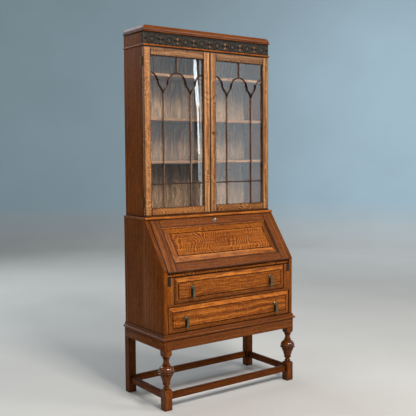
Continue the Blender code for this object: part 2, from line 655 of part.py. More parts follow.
def build_frieze_and_cornice():
    box("frieze", (-CASE_HALF_WIDTH, CASE_HALF_WIDTH), DOOR_Y, (DOOR_Z[1] + SLIDE, CASE_Z[1]),
        DARK_OAK, bevel=EASED)
    # The bead runs round the front and the two sides.
    inner = CASE_HALF_WIDTH + GAP
    outer = CASE_HALF_WIDTH + BEAD_PROJECTION
    face = DOOR_Y[0] - GAP
    front = DOOR_Y[0] - BEAD_PROJECTION
    plan = [(-outer, CARCASS_BACK), (-outer, front), (outer, front), (outer, CARCASS_BACK),
            (inner, CARCASS_BACK), (inner, face), (-inner, face), (-inner, CARCASS_BACK)]
    bead = outline("frieze_bead", [plan], "Z", BEAD_Z)
    ease(bead, BEAD_EASE)

    outer = CASE_HALF_WIDTH + CORNICE_PROJECTION
    lip_z = (CASE_Z[1] + GAP, CORNICE_LIP_TOP)
    cornice = box("cornice", (-outer, outer), (DOOR_Y[0] - CORNICE_PROJECTION, CARCASS_BACK), lip_z,
                  bevel=CORNICE_LIP_EASE)
    crown = box("cornice_crown", (-CASE_HALF_WIDTH, CASE_HALF_WIDTH),
                (DOOR_Y[0], CARCASS_BACK + CORNICE_WALL), (CORNICE_LIP_TOP - CROWN_LAP, CORNICE_TOP),
                bevel=CROWN_EASE, segments=4, helper=True)
    beyond = box("cornice_beyond_back", (-outer - CLEAR, outer + CLEAR),
                 (CARCASS_BACK, CARCASS_BACK + 2 * CORNICE_WALL),
                 (CASE_Z[1] - CLEAR, CORNICE_TOP + CLEAR), helper=True)
    well_half = CASE_HALF_WIDTH - CORNICE_WALL
    well = box("cornice_well", (-well_half, well_half), (DOOR_Y[0] + CORNICE_WALL, CARCASS_BACK + CLEAR),
               (CASE_Z[1] - CLEAR, CORNICE_TOP + CLEAR), helper=True)
    unite(cornice, crown)
    cut(cornice, beyond)
    cut(cornice, well)


def arch_side(centre, offset, crown_stop):
    """The left half of an arch head, from its valley up: a lobe, a cusp and the crown.

    The offset is half a bar: negative for the light under the bars, positive for the one above.
    """
    spring = ARCH_SPRING - LOBE
    valley = math.degrees(math.acos(min(1.0, LOBE / (LOBE + offset))))
    mitre = max(offset, 0.0)
    lobe_end = 90 + math.degrees(math.atan2(mitre, LOBE + offset))
    crown_start = 180 - math.degrees(math.atan2(mitre, ARCH + offset))
    lobe = arc((centre - ARCH, spring), LOBE + offset, 180 - valley, lobe_end, 3)
    return lobe + arc((centre, ARCH_SPRING), ARCH + offset, crown_start, crown_stop, 6)


def tracery_lights(half_opening, bottom, top):
    """The outlines of a door's eight lights, about the middle of its opening."""
    half_bar = BAR / 2
    pitch = ARCH + LOBE
    low = TRANSOM_HEIGHT - half_bar
    high = TRANSOM_HEIGHT + half_bar
    beyond = half_opening - 2 * pitch

    left_head = arch_side(0.0, -half_bar, 90)
    middle = [(-pitch + half_bar, high)] + left_head + mirrored(left_head[:-1])
    middle += [(pitch - half_bar, high)]
    under_stile = math.degrees(math.acos(beyond / (ARCH - half_bar)))
    outer = [(pitch + half_bar, high)] + arch_side(2 * pitch, -half_bar, under_stile)
    outer += [(half_opening, high)]

    beside_bar = math.degrees(math.acos(-half_bar / (ARCH + half_bar)))
    over_stile = math.degrees(math.acos(beyond / (ARCH + half_bar)))
    spandrel = mirrored(arch_side(0.0, half_bar, beside_bar))
    spandrel += arch_side(2 * pitch, half_bar, over_stile)[1:]
    spandrel += [(half_opening, top), (half_bar, top)]

    inner_edge = pitch - half_bar
    outer_edge = pitch + half_bar
    low_middle = [(-inner_edge, bottom), (inner_edge, bottom), (inner_edge, low), (-inner_edge, low)]
    low_outer = [(outer_edge, bottom), (half_opening, bottom), (half_opening, low), (outer_edge, low)]
    pairs = [outer, spandrel, low_outer]
    return [middle, low_middle] + pairs + [mirrored(loop) for loop in pairs]


def build_door(side, hand):
    """A framed door with tracery in front of its glass, hung on two hinges at its outer edge."""
    axis_x = side * (CASE_HALF_WIDTH + KNUCKLE + SLIDE / 2)
    axis_y = DOOR_Y[1] + GAP
    axis = pivot("door_axis_" + hand, (axis_x, axis_y, sum(DOOR_Z) / 2))

    name = "door_{}_frame".format(hand)
    frame = box(name, both(MEETING_GAP, CASE_HALF_WIDTH, side), DOOR_Y, DOOR_Z, bevel=EASED)
    opening_x = (MEETING_GAP + DOOR_STILE, CASE_HALF_WIDTH - DOOR_STILE)
    opening_z = (DOOR_Z[0] + DOOR_BOTTOM_RAIL, DOOR_Z[1] - DOOR_TOP_RAIL)
    opening = box(name + "_opening", both(*opening_x, side), (DOOR_Y[0] - CLEAR, DOOR_Y[1] + CLEAR),
                  opening_z, helper=True)
    cut(frame, opening)

    middle = sum(opening_x) / 2
    half = (opening_x[1] - opening_x[0]) / 2
    # The bars run on into the frame, and the lattice's own edge is buried in it.
    buried = 2 * LAP
    edge = [(-half - buried, opening_z[0] - buried), (half + buried, opening_z[0] - buried),
            (half + buried, opening_z[1] + buried), (-half - buried, opening_z[1] + buried)]
    loops = [edge] + tracery_lights(half + LAP, opening_z[0] - LAP, opening_z[1] + LAP)
    placed = [[(side * middle + x, z) for x, z in loop] for loop in loops]
    bars = outline(name + "_tracery", placed, "Y", BAR_Y, helper=True)
    unite(frame, bars)

    glass_x = both(opening_x[0] + GAP, opening_x[1] - GAP, side)
    glass = box("door_{}_glass".format(hand), glass_x, GLASS_Y,
                (opening_z[0] + GAP, opening_z[1] - GAP), GLASS)
    for piece in (frame, opening, bars, glass):
        attach(piece, axis)

    for level, z in DOOR_HINGE_Z.items():
        name = "door_hinge_{}_{}".format(level, hand)
        leaf_x = both(CASE_HALF_WIDTH + GAP, CASE_HALF_WIDTH + GAP + DOOR_LEAF_THICKNESS, side)
        leaf = box(name, leaf_x, (DOOR_Y[0] + DOOR_LEAF_SET_BACK, axis_y), z, BRASS)
        knuckle = cylinder(name + "_knuckle", KNUCKLE, z[1] - z[0], segments=16, helper=True)
        knuckle.location = (axis_x, axis_y, sum(z) / 2)
        unite(leaf, knuckle)
        attach(leaf, axis)
        attach(knuckle, axis)


clear_scene()
desk = add_collection("secretary_desk")
helpers = add_collection("cutters")

build_legs()
build_aprons()
build_stretchers()
build_base_board()
writing_bed = build_bureau_carcass()
build_pigeonholes()
build_fall(writing_bed)
side_face = BUREAU_HALF_WIDTH - BUREAU_SIDE
build_drawer("lower", side_face - SLIDE, (WAIST_Z[1] + SLIDE, DIVIDER_Z[0] - SLIDE))
build_drawer("upper", side_face - STILE_WIDTH - SLIDE, (DIVIDER_Z[1] + SLIDE, LOPER_TOP - SLIDE))
build_case()
build_frieze_and_cornice()
for side, hand in ((-1, "left"), (1, "right")):
    build_loper(side, hand)
    build_door(side, hand)
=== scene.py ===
"""Secretary desk: the boards, mouldings, carving, brass and glass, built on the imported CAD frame.

Metres, +Z up, the front faces -Y. The pieces' places come from the frame's boxes and joints. Only the
heights of the legs' turning, the tracery and the lock, and the details within a piece, are given here. A
piece is made of parts (boards, strips, turnings) that each carry their own grain, place in the log and tone.
"""

import json
import math
import random

import bmesh
import bpy
from mathutils import Matrix, Quaternion, Vector, noise


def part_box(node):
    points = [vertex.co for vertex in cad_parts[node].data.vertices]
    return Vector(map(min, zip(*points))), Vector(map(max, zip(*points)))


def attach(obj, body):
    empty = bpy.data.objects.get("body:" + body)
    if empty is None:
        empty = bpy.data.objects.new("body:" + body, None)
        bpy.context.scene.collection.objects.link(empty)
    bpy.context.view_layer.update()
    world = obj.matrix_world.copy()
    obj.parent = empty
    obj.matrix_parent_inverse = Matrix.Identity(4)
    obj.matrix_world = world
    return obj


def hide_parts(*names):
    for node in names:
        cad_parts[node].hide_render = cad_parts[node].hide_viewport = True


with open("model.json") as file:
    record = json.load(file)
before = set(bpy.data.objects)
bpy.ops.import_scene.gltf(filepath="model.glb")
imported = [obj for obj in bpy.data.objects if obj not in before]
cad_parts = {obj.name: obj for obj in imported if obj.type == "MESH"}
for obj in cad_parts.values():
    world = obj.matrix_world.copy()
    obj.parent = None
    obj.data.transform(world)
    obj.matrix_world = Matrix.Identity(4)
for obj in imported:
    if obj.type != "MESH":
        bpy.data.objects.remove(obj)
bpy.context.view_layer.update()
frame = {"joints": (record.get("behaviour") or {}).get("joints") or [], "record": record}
chance = random.Random(1930)

RECORD = frame["record"]
JOINTS = {joint["name"]: joint for joint in frame["joints"]}
BODY_OF = {node: body for body, nodes in RECORD["behaviour"]["bodies"].items() for node in nodes}
HANDS = ((-1, "left"), (1, "right"))

# How dark painted shade and dirt make a corner, groove or seam.
SHADE_AND_DIRT = 0.85

X = Vector((1, 0, 0))
Y = Vector((0, 1, 0))
Z = Vector((0, 0, 1))

# Joinery: the joint line between two boards, the clearance between two pieces, how far a board's
# edges are eased or worn round, the groove beside a bevel, and how far painted shade and grime reach from an
# edge.
JOINT = 0.0002
CLEARANCE = 0.0003
EASED = 0.0010
WORN_EDGE = 0.0016
GROOVE = 0.0028
GRIME_AND_SHADE_WIDTH = 0.0050
PEG_RADIUS = 0.0035
# Hinges: knuckles on each, the head of a screw, and where a leaf's screws are along it.
KNUCKLES = 5
SCREW_RADIUS = 0.0026
SCREW_PLACES = (0.16, 0.5, 0.84)
LEAF_EASE = 0.0003
# A fall hinge's leaves: how far from the pin they start and end, and the moving leaf's inner face.
LEAF_START = 0.0016
LEAF_END = 0.0240
LEAF_BACK = 0.0003


def placed(name, data):
    """A new object for a mesh, lamp or camera, in the scene."""
    made = bpy.data.objects.new(name, data)
    bpy.context.scene.collection.objects.link(made)
    return made


# Finishes. Each is a Principled shader whose colour, gloss and relief come from nodes.

class Finish:
    """A material and the few ways of adding nodes to it."""

    def __init__(self, name):
        self.material = bpy.data.materials.new(name)
        self.material.use_nodes = True
        self.tree = self.material.node_tree
        self.shader = self.tree.nodes["Principled BSDF"]

    def connect(self, value, socket):
        if isinstance(value, bpy.types.NodeSocket):
            self.tree.links.new(value, socket)
        else:
            socket.default_value = value

    def node(self, kind, inputs=(), **settings):
        made = self.tree.nodes.new("ShaderNode" + kind)
        for key, value in settings.items():
            setattr(made, key, value)
        for key, value in dict(inputs).items():
            self.connect(value, made.inputs[key])
        return made

    def set(self, **inputs):
        for key, value in inputs.items():
            self.connect(value, self.shader.inputs[key.replace("_", " ")])

    def attribute(self, name):
        return self.node("Attribute", attribute_name=name)

    def stretched(self, vector, scale):
        return self.node("Mapping", {"Vector": vector, "Scale": scale}).outputs["Vector"]

    def noise(self, vector, detail=2.0, roughness=0.5, scale=1.0):
        inputs = {"Vector": vector, "Scale": scale, "Detail": detail, "Roughness": roughness}
        return self.node("TexNoise", inputs).outputs["Fac"]

    def math(self, operation, a, b=0.0):
        made = self.node("Math", operation=operation)
        self.connect(a, made.inputs[0])
        self.connect(b, made.inputs[1])
        return made.outputs[0]

    def vector_math(self, operation, *vectors):
        made = self.node("VectorMath", enumerate(vectors), operation=operation)
        return made.outputs["Vector"]

    def remap(self, value, low, high, to_low=0.0, to_high=1.0):
        inputs = {"Value": value, "From Min": low, "From Max": high,
                  "To Min": to_low, "To Max": to_high}
        return self.node("MapRange", inputs).outputs["Result"]

    def mix(self, a, b, factor, blend="MIX"):
        made = self.node("Mix", data_type="RGBA", blend_type=blend)
        named = {socket.identifier: socket for socket in made.inputs}
        self.connect(factor, named["Factor_Float"])
        self.connect(a, named["A_Color"])
        self.connect(b, named["B_Color"])
        return next(s for s in made.outputs if s.identifier == "Result_Color")

    def bump(self, height, strength, distance):
        inputs = {"Height": height, "Strength": strength, "Distance": distance}
        return self.node("Bump", inputs).outputs["Normal"]

    def crevice(self, distance):
        """1 on open surfaces, falling towards 0 in corners and grooves."""
        made = self.node("AmbientOcclusion", {"Distance": distance}, samples=6)
        return made.outputs["AO"]


def rgb(red, green, blue):
    """A linear colour with full alpha, as the shader's sockets take it."""
    return (red, green, blue, 1.0)


def oak(name, dark, middle, light, tiger=0.3, lines=0.30, contrast=1.0, sway=0.020, rings=190.0,
        pitch=0.017, bends=75.0, gloss=0.42, coat=0.02, polish=0.0, sheen=0.14, wear_and_highlight_amount=0.4):
    """Oak: growth rings round the pith, streaks, open pores and wavy silver rays across the grain.

    The colours darken in corners, grooves and along joints and edges: painted shade, with grime.
    """
    made = Finish(name)
    grain = made.attribute("grain").outputs["Vector"]
    tone = made.attribute("tone").outputs["Fac"]
    worn = made.attribute("worn").outputs["Fac"]
    soil = made.attribute("soil").outputs["Fac"]

    # Growth rings round a pith that wanders, with streaks, dashes and pores along the grain.
    wander = made.node("TexNoise", {"Vector": made.stretched(grain, (3.2, 8.0, 8.0)), "Scale": 1.0,
                                    "Detail": 2.0}).outputs["Color"]
    around = made.vector_math("MULTIPLY_ADD", wander, (0.0, 2 * sway, 2 * sway), (0.0, -sway, -sway))
    swayed = made.vector_math("ADD", grain, around)
    section = made.vector_math("MULTIPLY", swayed, (0.0, 1.0, 1.0))
    radius = made.node("VectorMath", {0: section}, operation="LENGTH").outputs["Value"]
    bands = made.node("TexNoise", {"W": radius, "Scale": 0.4 * rings, "Detail": 3.0, "Roughness": 0.6},
                      noise_dimensions="1D").outputs["Fac"]
    year = made.math("FRACT", made.math("MULTIPLY", radius, rings))
    spring_wood = made.math("MULTIPLY", made.remap(year, 0.45, 0.85), made.remap(year, 1.0, 0.90))
    streaks = made.noise(made.stretched(swayed, (11.0, 170.0, 170.0)), detail=4.0, roughness=0.7)
    dashes = made.noise(made.stretched(swayed, (48.0, 240.0, 240.0)), detail=2.0, roughness=0.6)
    pores = made.noise(made.stretched(swayed, (45.0, 1200.0, 1200.0)), detail=1.0)
    cloud = made.noise(made.stretched(grain, (3.0, 9.0, 9.0)), detail=2.0)

    depth = made.math("ADD", made.math("MULTIPLY", bands, 0.30), made.math("MULTIPLY", streaks, 0.32))
    depth = made.math("ADD", depth, made.math("MULTIPLY", dashes, 0.26))
    depth = made.math("ADD", depth, made.math("MULTIPLY", cloud, 0.12))
    reach = 0.10 / contrast
    colour = made.mix(rgb(*dark), rgb(*middle), made.remap(depth, 0.495 - reach, 0.495))
    colour = made.mix(colour, rgb(*light), made.remap(depth, 0.505, 0.505 + reach))
    colour = made.mix(colour, rgb(*dark), made.math("MULTIPLY", spring_wood, lines))

    # Silver rays: bent stripes across the grain, in patches.
    along = made.node("SeparateXYZ", {"Vector": grain}).outputs["X"]
    bend = made.noise(made.stretched(grain, (8.0, 13.0, 13.0)), detail=1.0)
    phase = made.math("ADD", made.math("MULTIPLY", along, 2 * math.pi / pitch),
                      made.math("MULTIPLY", bend, bends))
    stripe = made.remap(made.math("COSINE", phase), -0.1, 0.8)
    patch = made.remap(made.noise(made.stretched(grain, (7.0, 18.0, 18.0)), detail=2.0), 0.28, 0.48)
    broken = made.remap(dashes, 0.38, 0.56, 0.35, 1.0)
    rays = made.math("MULTIPLY", made.math("MULTIPLY", stripe, patch), broken)
    between = made.math("MULTIPLY", made.math("SUBTRACT", 1.0, stripe), patch)
    colour = made.mix(colour, rgb(*(min(1.0, 1.15 * channel) for channel in light)),
                      made.math("MULTIPLY", rays, tiger))
    colour = made.mix(colour, rgb(*dark), made.math("MULTIPLY", between, 0.35 * tiger))
    open_pore = made.remap(pores, 0.30, 0.42, 0.45, 0.0)
    colour = made.mix(colour, rgb(*(0.4 * channel for channel in dark)), open_pore)

    # Edges lightened by wear and a painted highlight; corners, grooves, joints and edges darkened by painted
    # shade with grime; then each board's tone, which on some boards holds painted light and shade.
    # Painted highlight, with wear: eased edges and chosen faces lightened towards a paler oak.
    wear_and_highlight_patches = made.remap(made.noise(made.stretched(grain, (14.0, 60.0, 60.0)), detail=2.0), 0.40, 0.62)
    rubbed_and_highlit = made.math("MULTIPLY", made.math("MULTIPLY", worn, wear_and_highlight_patches), wear_and_highlight_amount)
    colour = made.mix(colour, rgb(*(min(1.0, 1.3 * channel) for channel in light)), rubbed_and_highlit)
    # Painted shade, with dirt: ambient occlusion darkens corners, grooves and seams.
    corner = made.remap(made.crevice(0.035), 0.30, 0.95, 1.0 - 0.5 * SHADE_AND_DIRT, 1.0)
    seam = made.remap(made.crevice(0.006), 0.42, 0.90, 1.0 - SHADE_AND_DIRT, 1.0)
    # Painted shade and grime along board edges and beside grooves, from the edge layer.
    grime_and_shade_amount = made.math("MULTIPLY", soil, made.remap(cloud, 0.35, 0.60, 0.6, 1.0))
    edge_shade_and_grime = made.remap(grime_and_shade_amount, 0.0, 0.9, 1.0, 0.14)
    painted_shade_and_grime = made.math("MULTIPLY", made.math("MULTIPLY", corner, seam), edge_shade_and_grime)
    colour = made.mix(colour, painted_shade_and_grime, 1.0, "MULTIPLY")
    colour = made.mix(colour, tone, 1.0, "MULTIPLY")

    # Gloss and relief.
    smear = made.noise(made.stretched(grain, (6.0, 16.0, 16.0)), detail=3.0)
    rough = made.math("ADD", made.remap(smear, 0.3, 0.7, gloss - 0.07, gloss + 0.10),
                      made.math("MULTIPLY", open_pore, 0.35))
    rough = made.math("SUBTRACT", rough, made.math("MULTIPLY", rays, 0.06))
    height = made.math("SUBTRACT", made.math("MULTIPLY", streaks, 0.5), made.math("MULTIPLY", open_pore, 1.2))
    made.set(Base_Color=colour, Roughness=rough, Normal=made.bump(height, 0.30, 0.0006),
             Coat_Weight=made.remap(worn, 0.0, 1.0, coat, coat + polish) if polish else coat,
             Coat_Roughness=0.10, Specular_IOR_Level=sheen)
    return made.material


def carved_oak(name, ground, surface, crest):
    """Carving: a dark ground, stained and painted as shade, browner modelling, and reddish crests, rubbed and
    painted as highlights.
    """
    made = Finish(name)
    grain = made.attribute("grain").outputs["Vector"]
    relief = made.attribute("worn").outputs["Fac"]
    streaks = made.noise(made.stretched(grain, (14.0, 260.0, 260.0)), detail=3.0, roughness=0.65)
    blotch = made.noise(made.stretched(grain, (30.0, 40.0, 40.0)), detail=3.0)
    raised = made.remap(relief, 0.18, 0.62)
    rubbed_and_highlit = made.remap(made.noise(made.stretched(grain, (7.0, 7.0, 7.0)), detail=0.0), 0.42, 0.58, 0.10, 1.0)
    crest_wear_and_highlight = made.math("MULTIPLY", made.remap(relief, 0.66, 1.0), rubbed_and_highlit)
    colour = made.mix(made.mix(rgb(*ground), rgb(*surface), raised), rgb(*crest), crest_wear_and_highlight)
    colour = made.mix(colour, made.remap(streaks, 0.3, 0.7, 0.62, 1.2), 1.0, "MULTIPLY")
    # Painted shade: the carving's recesses darken by ambient occlusion.
    colour = made.mix(colour, made.remap(made.crevice(0.006), 0.2, 0.9, 0.35, 1.0), 1.0, "MULTIPLY")
    rough = made.remap(blotch, 0.3, 0.7, 0.42, 0.62)
    made.set(Base_Color=colour, Roughness=rough, Normal=made.bump(streaks, 0.35, 0.0005),
             Specular_IOR_Level=0.15)
    return made.material


def aged_brass(name, bright, patina):
    """Brass gone green-black in its hollows and rubbed bright where fingers reach."""
    made = Finish(name)
    place = made.node("TexCoord").outputs["Object"]
    cloud = made.noise(place, detail=4.0, roughness=0.65, scale=260.0)
    scratch = made.noise(made.stretched(place, (900.0, 900.0, 200.0)), detail=2.0)
    shelter = made.remap(made.crevice(0.004), 0.45, 0.95)
    clean = made.math("MULTIPLY", made.remap(cloud, 0.42, 0.60), shelter)
    colour = made.mix(rgb(*patina), rgb(*bright), clean)
    rough = made.math("ADD", made.remap(clean, 0.0, 1.0, 0.50, 0.27), made.math("MULTIPLY", scratch, 0.08))
    made.set(Base_Color=colour, Roughness=rough, Metallic=made.remap(clean, 0.0, 1.0, 0.75, 1.0),
             Normal=made.bump(made.math("ADD", cloud, scratch), 0.18, 0.0002))
    return made.material


def old_glass(name):
    """Sheet glass: clear to lamps, faintly grey, with a slow ripple and a trace of dust."""
    made = Finish(name)
    place = made.node("TexCoord").outputs["Object"]
    ripple = made.noise(made.stretched(place, (9.0, 9.0, 4.0)), detail=2.0)
    dust = made.remap(made.noise(place, detail=4.0, scale=45.0), 0.40, 0.80, 0.0, 0.012)
    made.set(Base_Color=rgb(0.90, 0.93, 0.92), Roughness=dust, Transmission_Weight=1.0, IOR=1.5,
             Normal=made.bump(ripple, 0.003, 0.004))
    clear = made.node("BsdfTransparent", {"Color": rgb(0.90, 0.92, 0.91)})
    path = made.node("LightPath").outputs["Is Shadow Ray"]
    pane = made.node("MixShader")
    made.connect(path, pane.inputs[0])
    made.connect(made.shader.outputs["BSDF"], pane.inputs[1])
    made.connect(clear.outputs["BSDF"], pane.inputs[2])
    made.connect(pane.outputs[0], made.tree.nodes["Material Output"].inputs["Surface"])
    return made.material


def plain_stage(name, floor, wall, rough):
    """The floor and backdrop: a pale matt sweep, warm grey underfoot and blue-grey on the wall."""
    made = Finish(name)
    place = made.node("TexCoord").outputs["Object"]
    cloud = made.remap(made.noise(place, detail=3.0, scale=1.3), 0.3, 0.7, 0.97, 1.03)
    height = made.node("SeparateXYZ", {"Vector": place}).outputs["Z"]
    colour = made.mix(rgb(*floor), rgb(*wall), made.remap(height, 0.0, 0.6))
    made.set(Base_Color=made.mix(colour, cloud, 1.0, "MULTIPLY"), Roughness=rough)
    return made.material


BODY_OAK = oak("body_oak", (0.072, 0.015, 0.001), (0.178, 0.043, 0.004), (0.300, 0.090, 0.011),
               tiger=0.06, sheen=0.05)
# The turned legs and the stand are darker copies of the body oak: painted shade on the lower parts.
SHADED_TURNED_OAK = oak("turned_oak", (0.036, 0.007, 0.001), (0.104, 0.021, 0.001), (0.225, 0.060, 0.004),
                 tiger=0.0, gloss=0.26, coat=0.25, polish=0.75, sheen=0.06, wear_and_highlight_amount=0.0)
SHADED_STAND_OAK = oak("stand_oak", (0.042, 0.009, 0.001), (0.110, 0.026, 0.003), (0.200, 0.058, 0.008),
                tiger=0.05, sheen=0.06)
FRAME_OAK = oak("frame_oak", (0.062, 0.013, 0.001), (0.142, 0.034, 0.003), (0.245, 0.074, 0.010),
                tiger=0.16, lines=0.25, contrast=1.0, sheen=0.14)
FRONT_OAK = oak("front_oak", (0.085, 0.018, 0.001), (0.225, 0.052, 0.004), (0.430, 0.136, 0.017),
                tiger=0.28, lines=0.32, contrast=1.35, pitch=0.012, bends=40.0, sheen=0.12)
TIGER_OAK = oak("tiger_oak", (0.080, 0.016, 0.001), (0.180, 0.039, 0.002), (0.440, 0.138, 0.016),
                tiger=0.78, lines=0.15, sway=0.010, pitch=0.0165, bends=46.0, sheen=0.10)
DOOR_OAK = oak("door_oak", (0.130, 0.038, 0.009), (0.310, 0.120, 0.038), (0.510, 0.250, 0.096),
               tiger=0.55, pitch=0.014, contrast=1.5, sheen=0.20)
RAIL_OAK = oak("rail_oak", (0.110, 0.030, 0.006), (0.265, 0.090, 0.023), (0.500, 0.215, 0.064),
               tiger=0.85, lines=0.15, sheen=0.14)
CORNICE_OAK = oak("cornice_oak", (0.050, 0.010, 0.001), (0.130, 0.031, 0.003), (0.235, 0.066, 0.010),
                  tiger=0.05, gloss=0.34, coat=0.05, sheen=0.10)
BACK_OAK = oak("back_oak", (0.056, 0.032, 0.017), (0.220, 0.122, 0.064), (0.500, 0.312, 0.176),
               tiger=0.0, lines=0.62, contrast=1.1, sway=0.045, rings=55.0, gloss=0.55, coat=0.0)
TRACERY_OAK = oak("tracery_oak", (0.014, 0.004, 0.002), (0.042, 0.011, 0.004), (0.110, 0.034, 0.011),
                  tiger=0.1, gloss=0.30, coat=0.15)
BAR_OAK = oak("bar_oak", (0.110, 0.052, 0.034), (0.260, 0.140, 0.092), (0.420, 0.260, 0.180),
              tiger=0.1, gloss=0.40)
PALE_OAK = oak("pale_oak", (0.200, 0.100, 0.042), (0.370, 0.205, 0.095), (0.500, 0.310, 0.160),
               tiger=0.1, sway=0.035, rings=110.0, gloss=0.62, coat=0.0)
EBONISED = oak("ebonised_oak", (0.004, 0.004, 0.003), (0.012, 0.013, 0.010), (0.034, 0.037, 0.028),
               tiger=0.05, gloss=0.42, wear_and_highlight_amount=0.2)
CARVED_OAK = carved_oak("carved_oak", (0.008, 0.008, 0.006), (0.042, 0.030, 0.020), (0.260, 0.090, 0.045))
BRASS = aged_brass("aged_brass", (0.320, 0.270, 0.145), (0.030, 0.033, 0.020))
DARK_BRASS = aged_brass("dark_brass", (0.300, 0.135, 0.050), (0.150, 0.060, 0.020))
BRIGHT_BRASS = aged_brass("bright_brass", (0.700, 0.640, 0.470), (0.040, 0.038, 0.022))
BLACK_BRASS = aged_brass("black_brass", (0.030, 0.026, 0.016), (0.008, 0.008, 0.006))
GLASS = old_glass("old_glass")
STAGE = plain_stage("pale_stage", (0.560, 0.545, 0.520), (0.400, 0.520, 0.590), 0.75)


# Parts. Each returns a closed bmesh; a face with material_index 1 is an edge, which wear and a painted
# highlight lighten.

def eased(part, width=EASED, segments=2):
    """Rounds every edge of a part and marks the rounded faces as edges."""
    made = bmesh.ops.bevel(part, geom=list(part.edges), offset=width, offset_type="OFFSET",
                           segments=segments, profile=0.5, affect="EDGES", clamp_overlap=True)
    for face in made["faces"]:
        face.smooth = True
        face.material_index = 1
    return part


def shaded_and_grimed(part, width):
    """Rings each main face with a border that fades from 1 at the board's edge to 0: the layer of painted
    shade and grime.
    """
    soil = part.verts.layers.float.get("soil") or part.verts.layers.float.new("soil")
    faces = [face for face in part.faces if face.material_index == 0]
    for vert in part.verts:
        vert[soil] = 1.0
    bmesh.ops.inset_individual(part, faces=faces, thickness=width, use_even_offset=True)
    for face in faces:
        for vert in face.verts:
            vert[soil] = 0.0
    return part


def block(low, high, ease=EASED, segments=2):
    """A board between two corners, with eased edges, and painted shade and grime along them."""
    low = Vector(low)
    high = Vector(high)
    part = bmesh.new()
    bmesh.ops.create_cube(part, size=1.0)
    bmesh.ops.scale(part, vec=high - low, verts=part.verts)
    bmesh.ops.translate(part, vec=(low + high) / 2, verts=part.verts)
    eased(part, ease, segments)
    return shaded_and_grimed(part, min(GRIME_AND_SHADE_WIDTH, 0.3 * (min(high - low) - 2 * ease)))


def on_axis(axis, a, b, along):
    """A point from its two coordinates in an outline's plane and the one along the extrusion."""
    return {"X": Vector((along, a, b)), "Y": Vector((a, along, b)), "Z": Vector((a, b, along))}[axis]


def cutout(outline, axis, span, ease=EASED, segments=2):
    """A flat outline in the plane across an axis, extruded along it, with eased edges."""
    part = bmesh.new()
    lower = [part.verts.new(on_axis(axis, a, b, span[0])) for a, b in outline]
    upper = [part.verts.new(on_axis(axis, a, b, span[1])) for a, b in outline]
    part.faces.new(lower)
    part.faces.new(reversed(upper))
    for i in range(len(outline)):
        j = (i + 1) % len(outline)
        part.faces.new((lower[i], upper[i], upper[j], lower[j]))
    bmesh.ops.recalc_face_normals(part, faces=part.faces)
    return eased(part, ease, segments) if ease else part


def bridged(rings):
    """A closed solid through rings of points, capped flat at both ends."""
    part = bmesh.new()
    rows = [[part.verts.new(point) for point in ring] for ring in rings]
    for first, second in zip(rows, rows[1:]):
        for i in range(len(first)):
            j = (i + 1) % len(first)
            face = part.faces.new((first[i], first[j], second[j], second[i]))
            face.smooth = True
    part.faces.new(reversed(rows[0]))
    part.faces.new(rows[-1])
    bmesh.ops.recalc_face_normals(part, faces=part.faces)
    return part


def strip(section, start, end, out, up, mitres=(0.0, 0.0)):
    """A straight moulding. Its section is (out, up) points, some with how much painted shade and grime they
    carry as a third value; a mitre of 1 turns an outside corner."""
    start = Vector(start)
    end = Vector(end)
    along = (end - start).normalized()
    rings = []
    for point, mitre in ((start, -mitres[0]), (end, mitres[1])):
        rings.append([point + out * a + up * b + along * (a * mitre) for a, b, *_ in section])
    part = bridged(rings)
    soil = part.verts.layers.float.new("soil")
    for i, vert in enumerate(part.verts):
        vert[soil] = (*section[i % len(section)], 0.0)[2]
    return part


def turning(profile, segments=32):
    """A solid turned about Z, from its (radius, height) profile, which starts and ends on the axis."""
    part = bmesh.new()
    rows = []
    for radius, height in profile:
        count = segments if radius > 0.00001 else 1
        angles = [2 * math.pi * i / segments for i in range(count)]
        rows.append([part.verts.new((radius * math.cos(a), radius * math.sin(a), height)) for a in angles])
    for first, second in zip(rows, rows[1:]):
        for i in range(segments):
            j = (i + 1) % segments
            corners = [first[i % len(first)], first[j % len(first)],
                       second[j % len(second)], second[i % len(second)]]
            unique = list(dict.fromkeys(corners))
            if len(unique) > 2:
                part.faces.new(unique).smooth = True
    bmesh.ops.recalc_face_normals(part, faces=part.faces)
    return part


def standing(place, axis=Z):
    """The matrix that sets a part made about Z on a place, pointing along an axis."""
    turn = Z.rotation_difference(Vector(axis)).to_matrix().to_4x4()
    return Matrix.Translation(Vector(place)) @ turn


def arc(centre, radius, start, end, steps):
    """Points on an arc, angles in degrees, both ends included."""
    angles = [math.radians(start + (end - start) * i / steps) for i in range(steps + 1)]
    return [(centre[0] + radius * math.cos(a), centre[1] + radius * math.sin(a)) for a in angles]


def quarter_turn(steps):
    """Angles from 0 to a right angle, in radians, both ends included."""
    return [math.pi / 2 * i / steps for i in range(steps + 1)]


def smoothed(profile, steps):
    """A Catmull-Rom curve through (radius, height) points."""
    ends = [profile[0]] + list(profile) + [profile[-1]]
    points = []
    for p0, p1, p2, p3 in zip(ends, ends[1:], ends[2:], ends[3:]):
        for i in range(steps):
            t = i / steps
            points.append(tuple(
                0.5 * (2 * b + (c - a) * t + (2 * a - 5 * b + 4 * c - d) * t * t
                       + (3 * b - a - 3 * c + d) * t ** 3)
                for a, b, c, d in zip(p0, p1, p2, p3)))
    return points + [profile[-1]]


# Where the pith lies from a board's middle, across its face and behind it, for each way of sawing.
PITH = {"flat": ((-0.030, 0.030), (0.035, 0.060)),
        "rift": ((0.060, 0.110), (0.050, 0.090)),
        "quarter": ((0.120, 0.200), (-0.010, 0.010))}


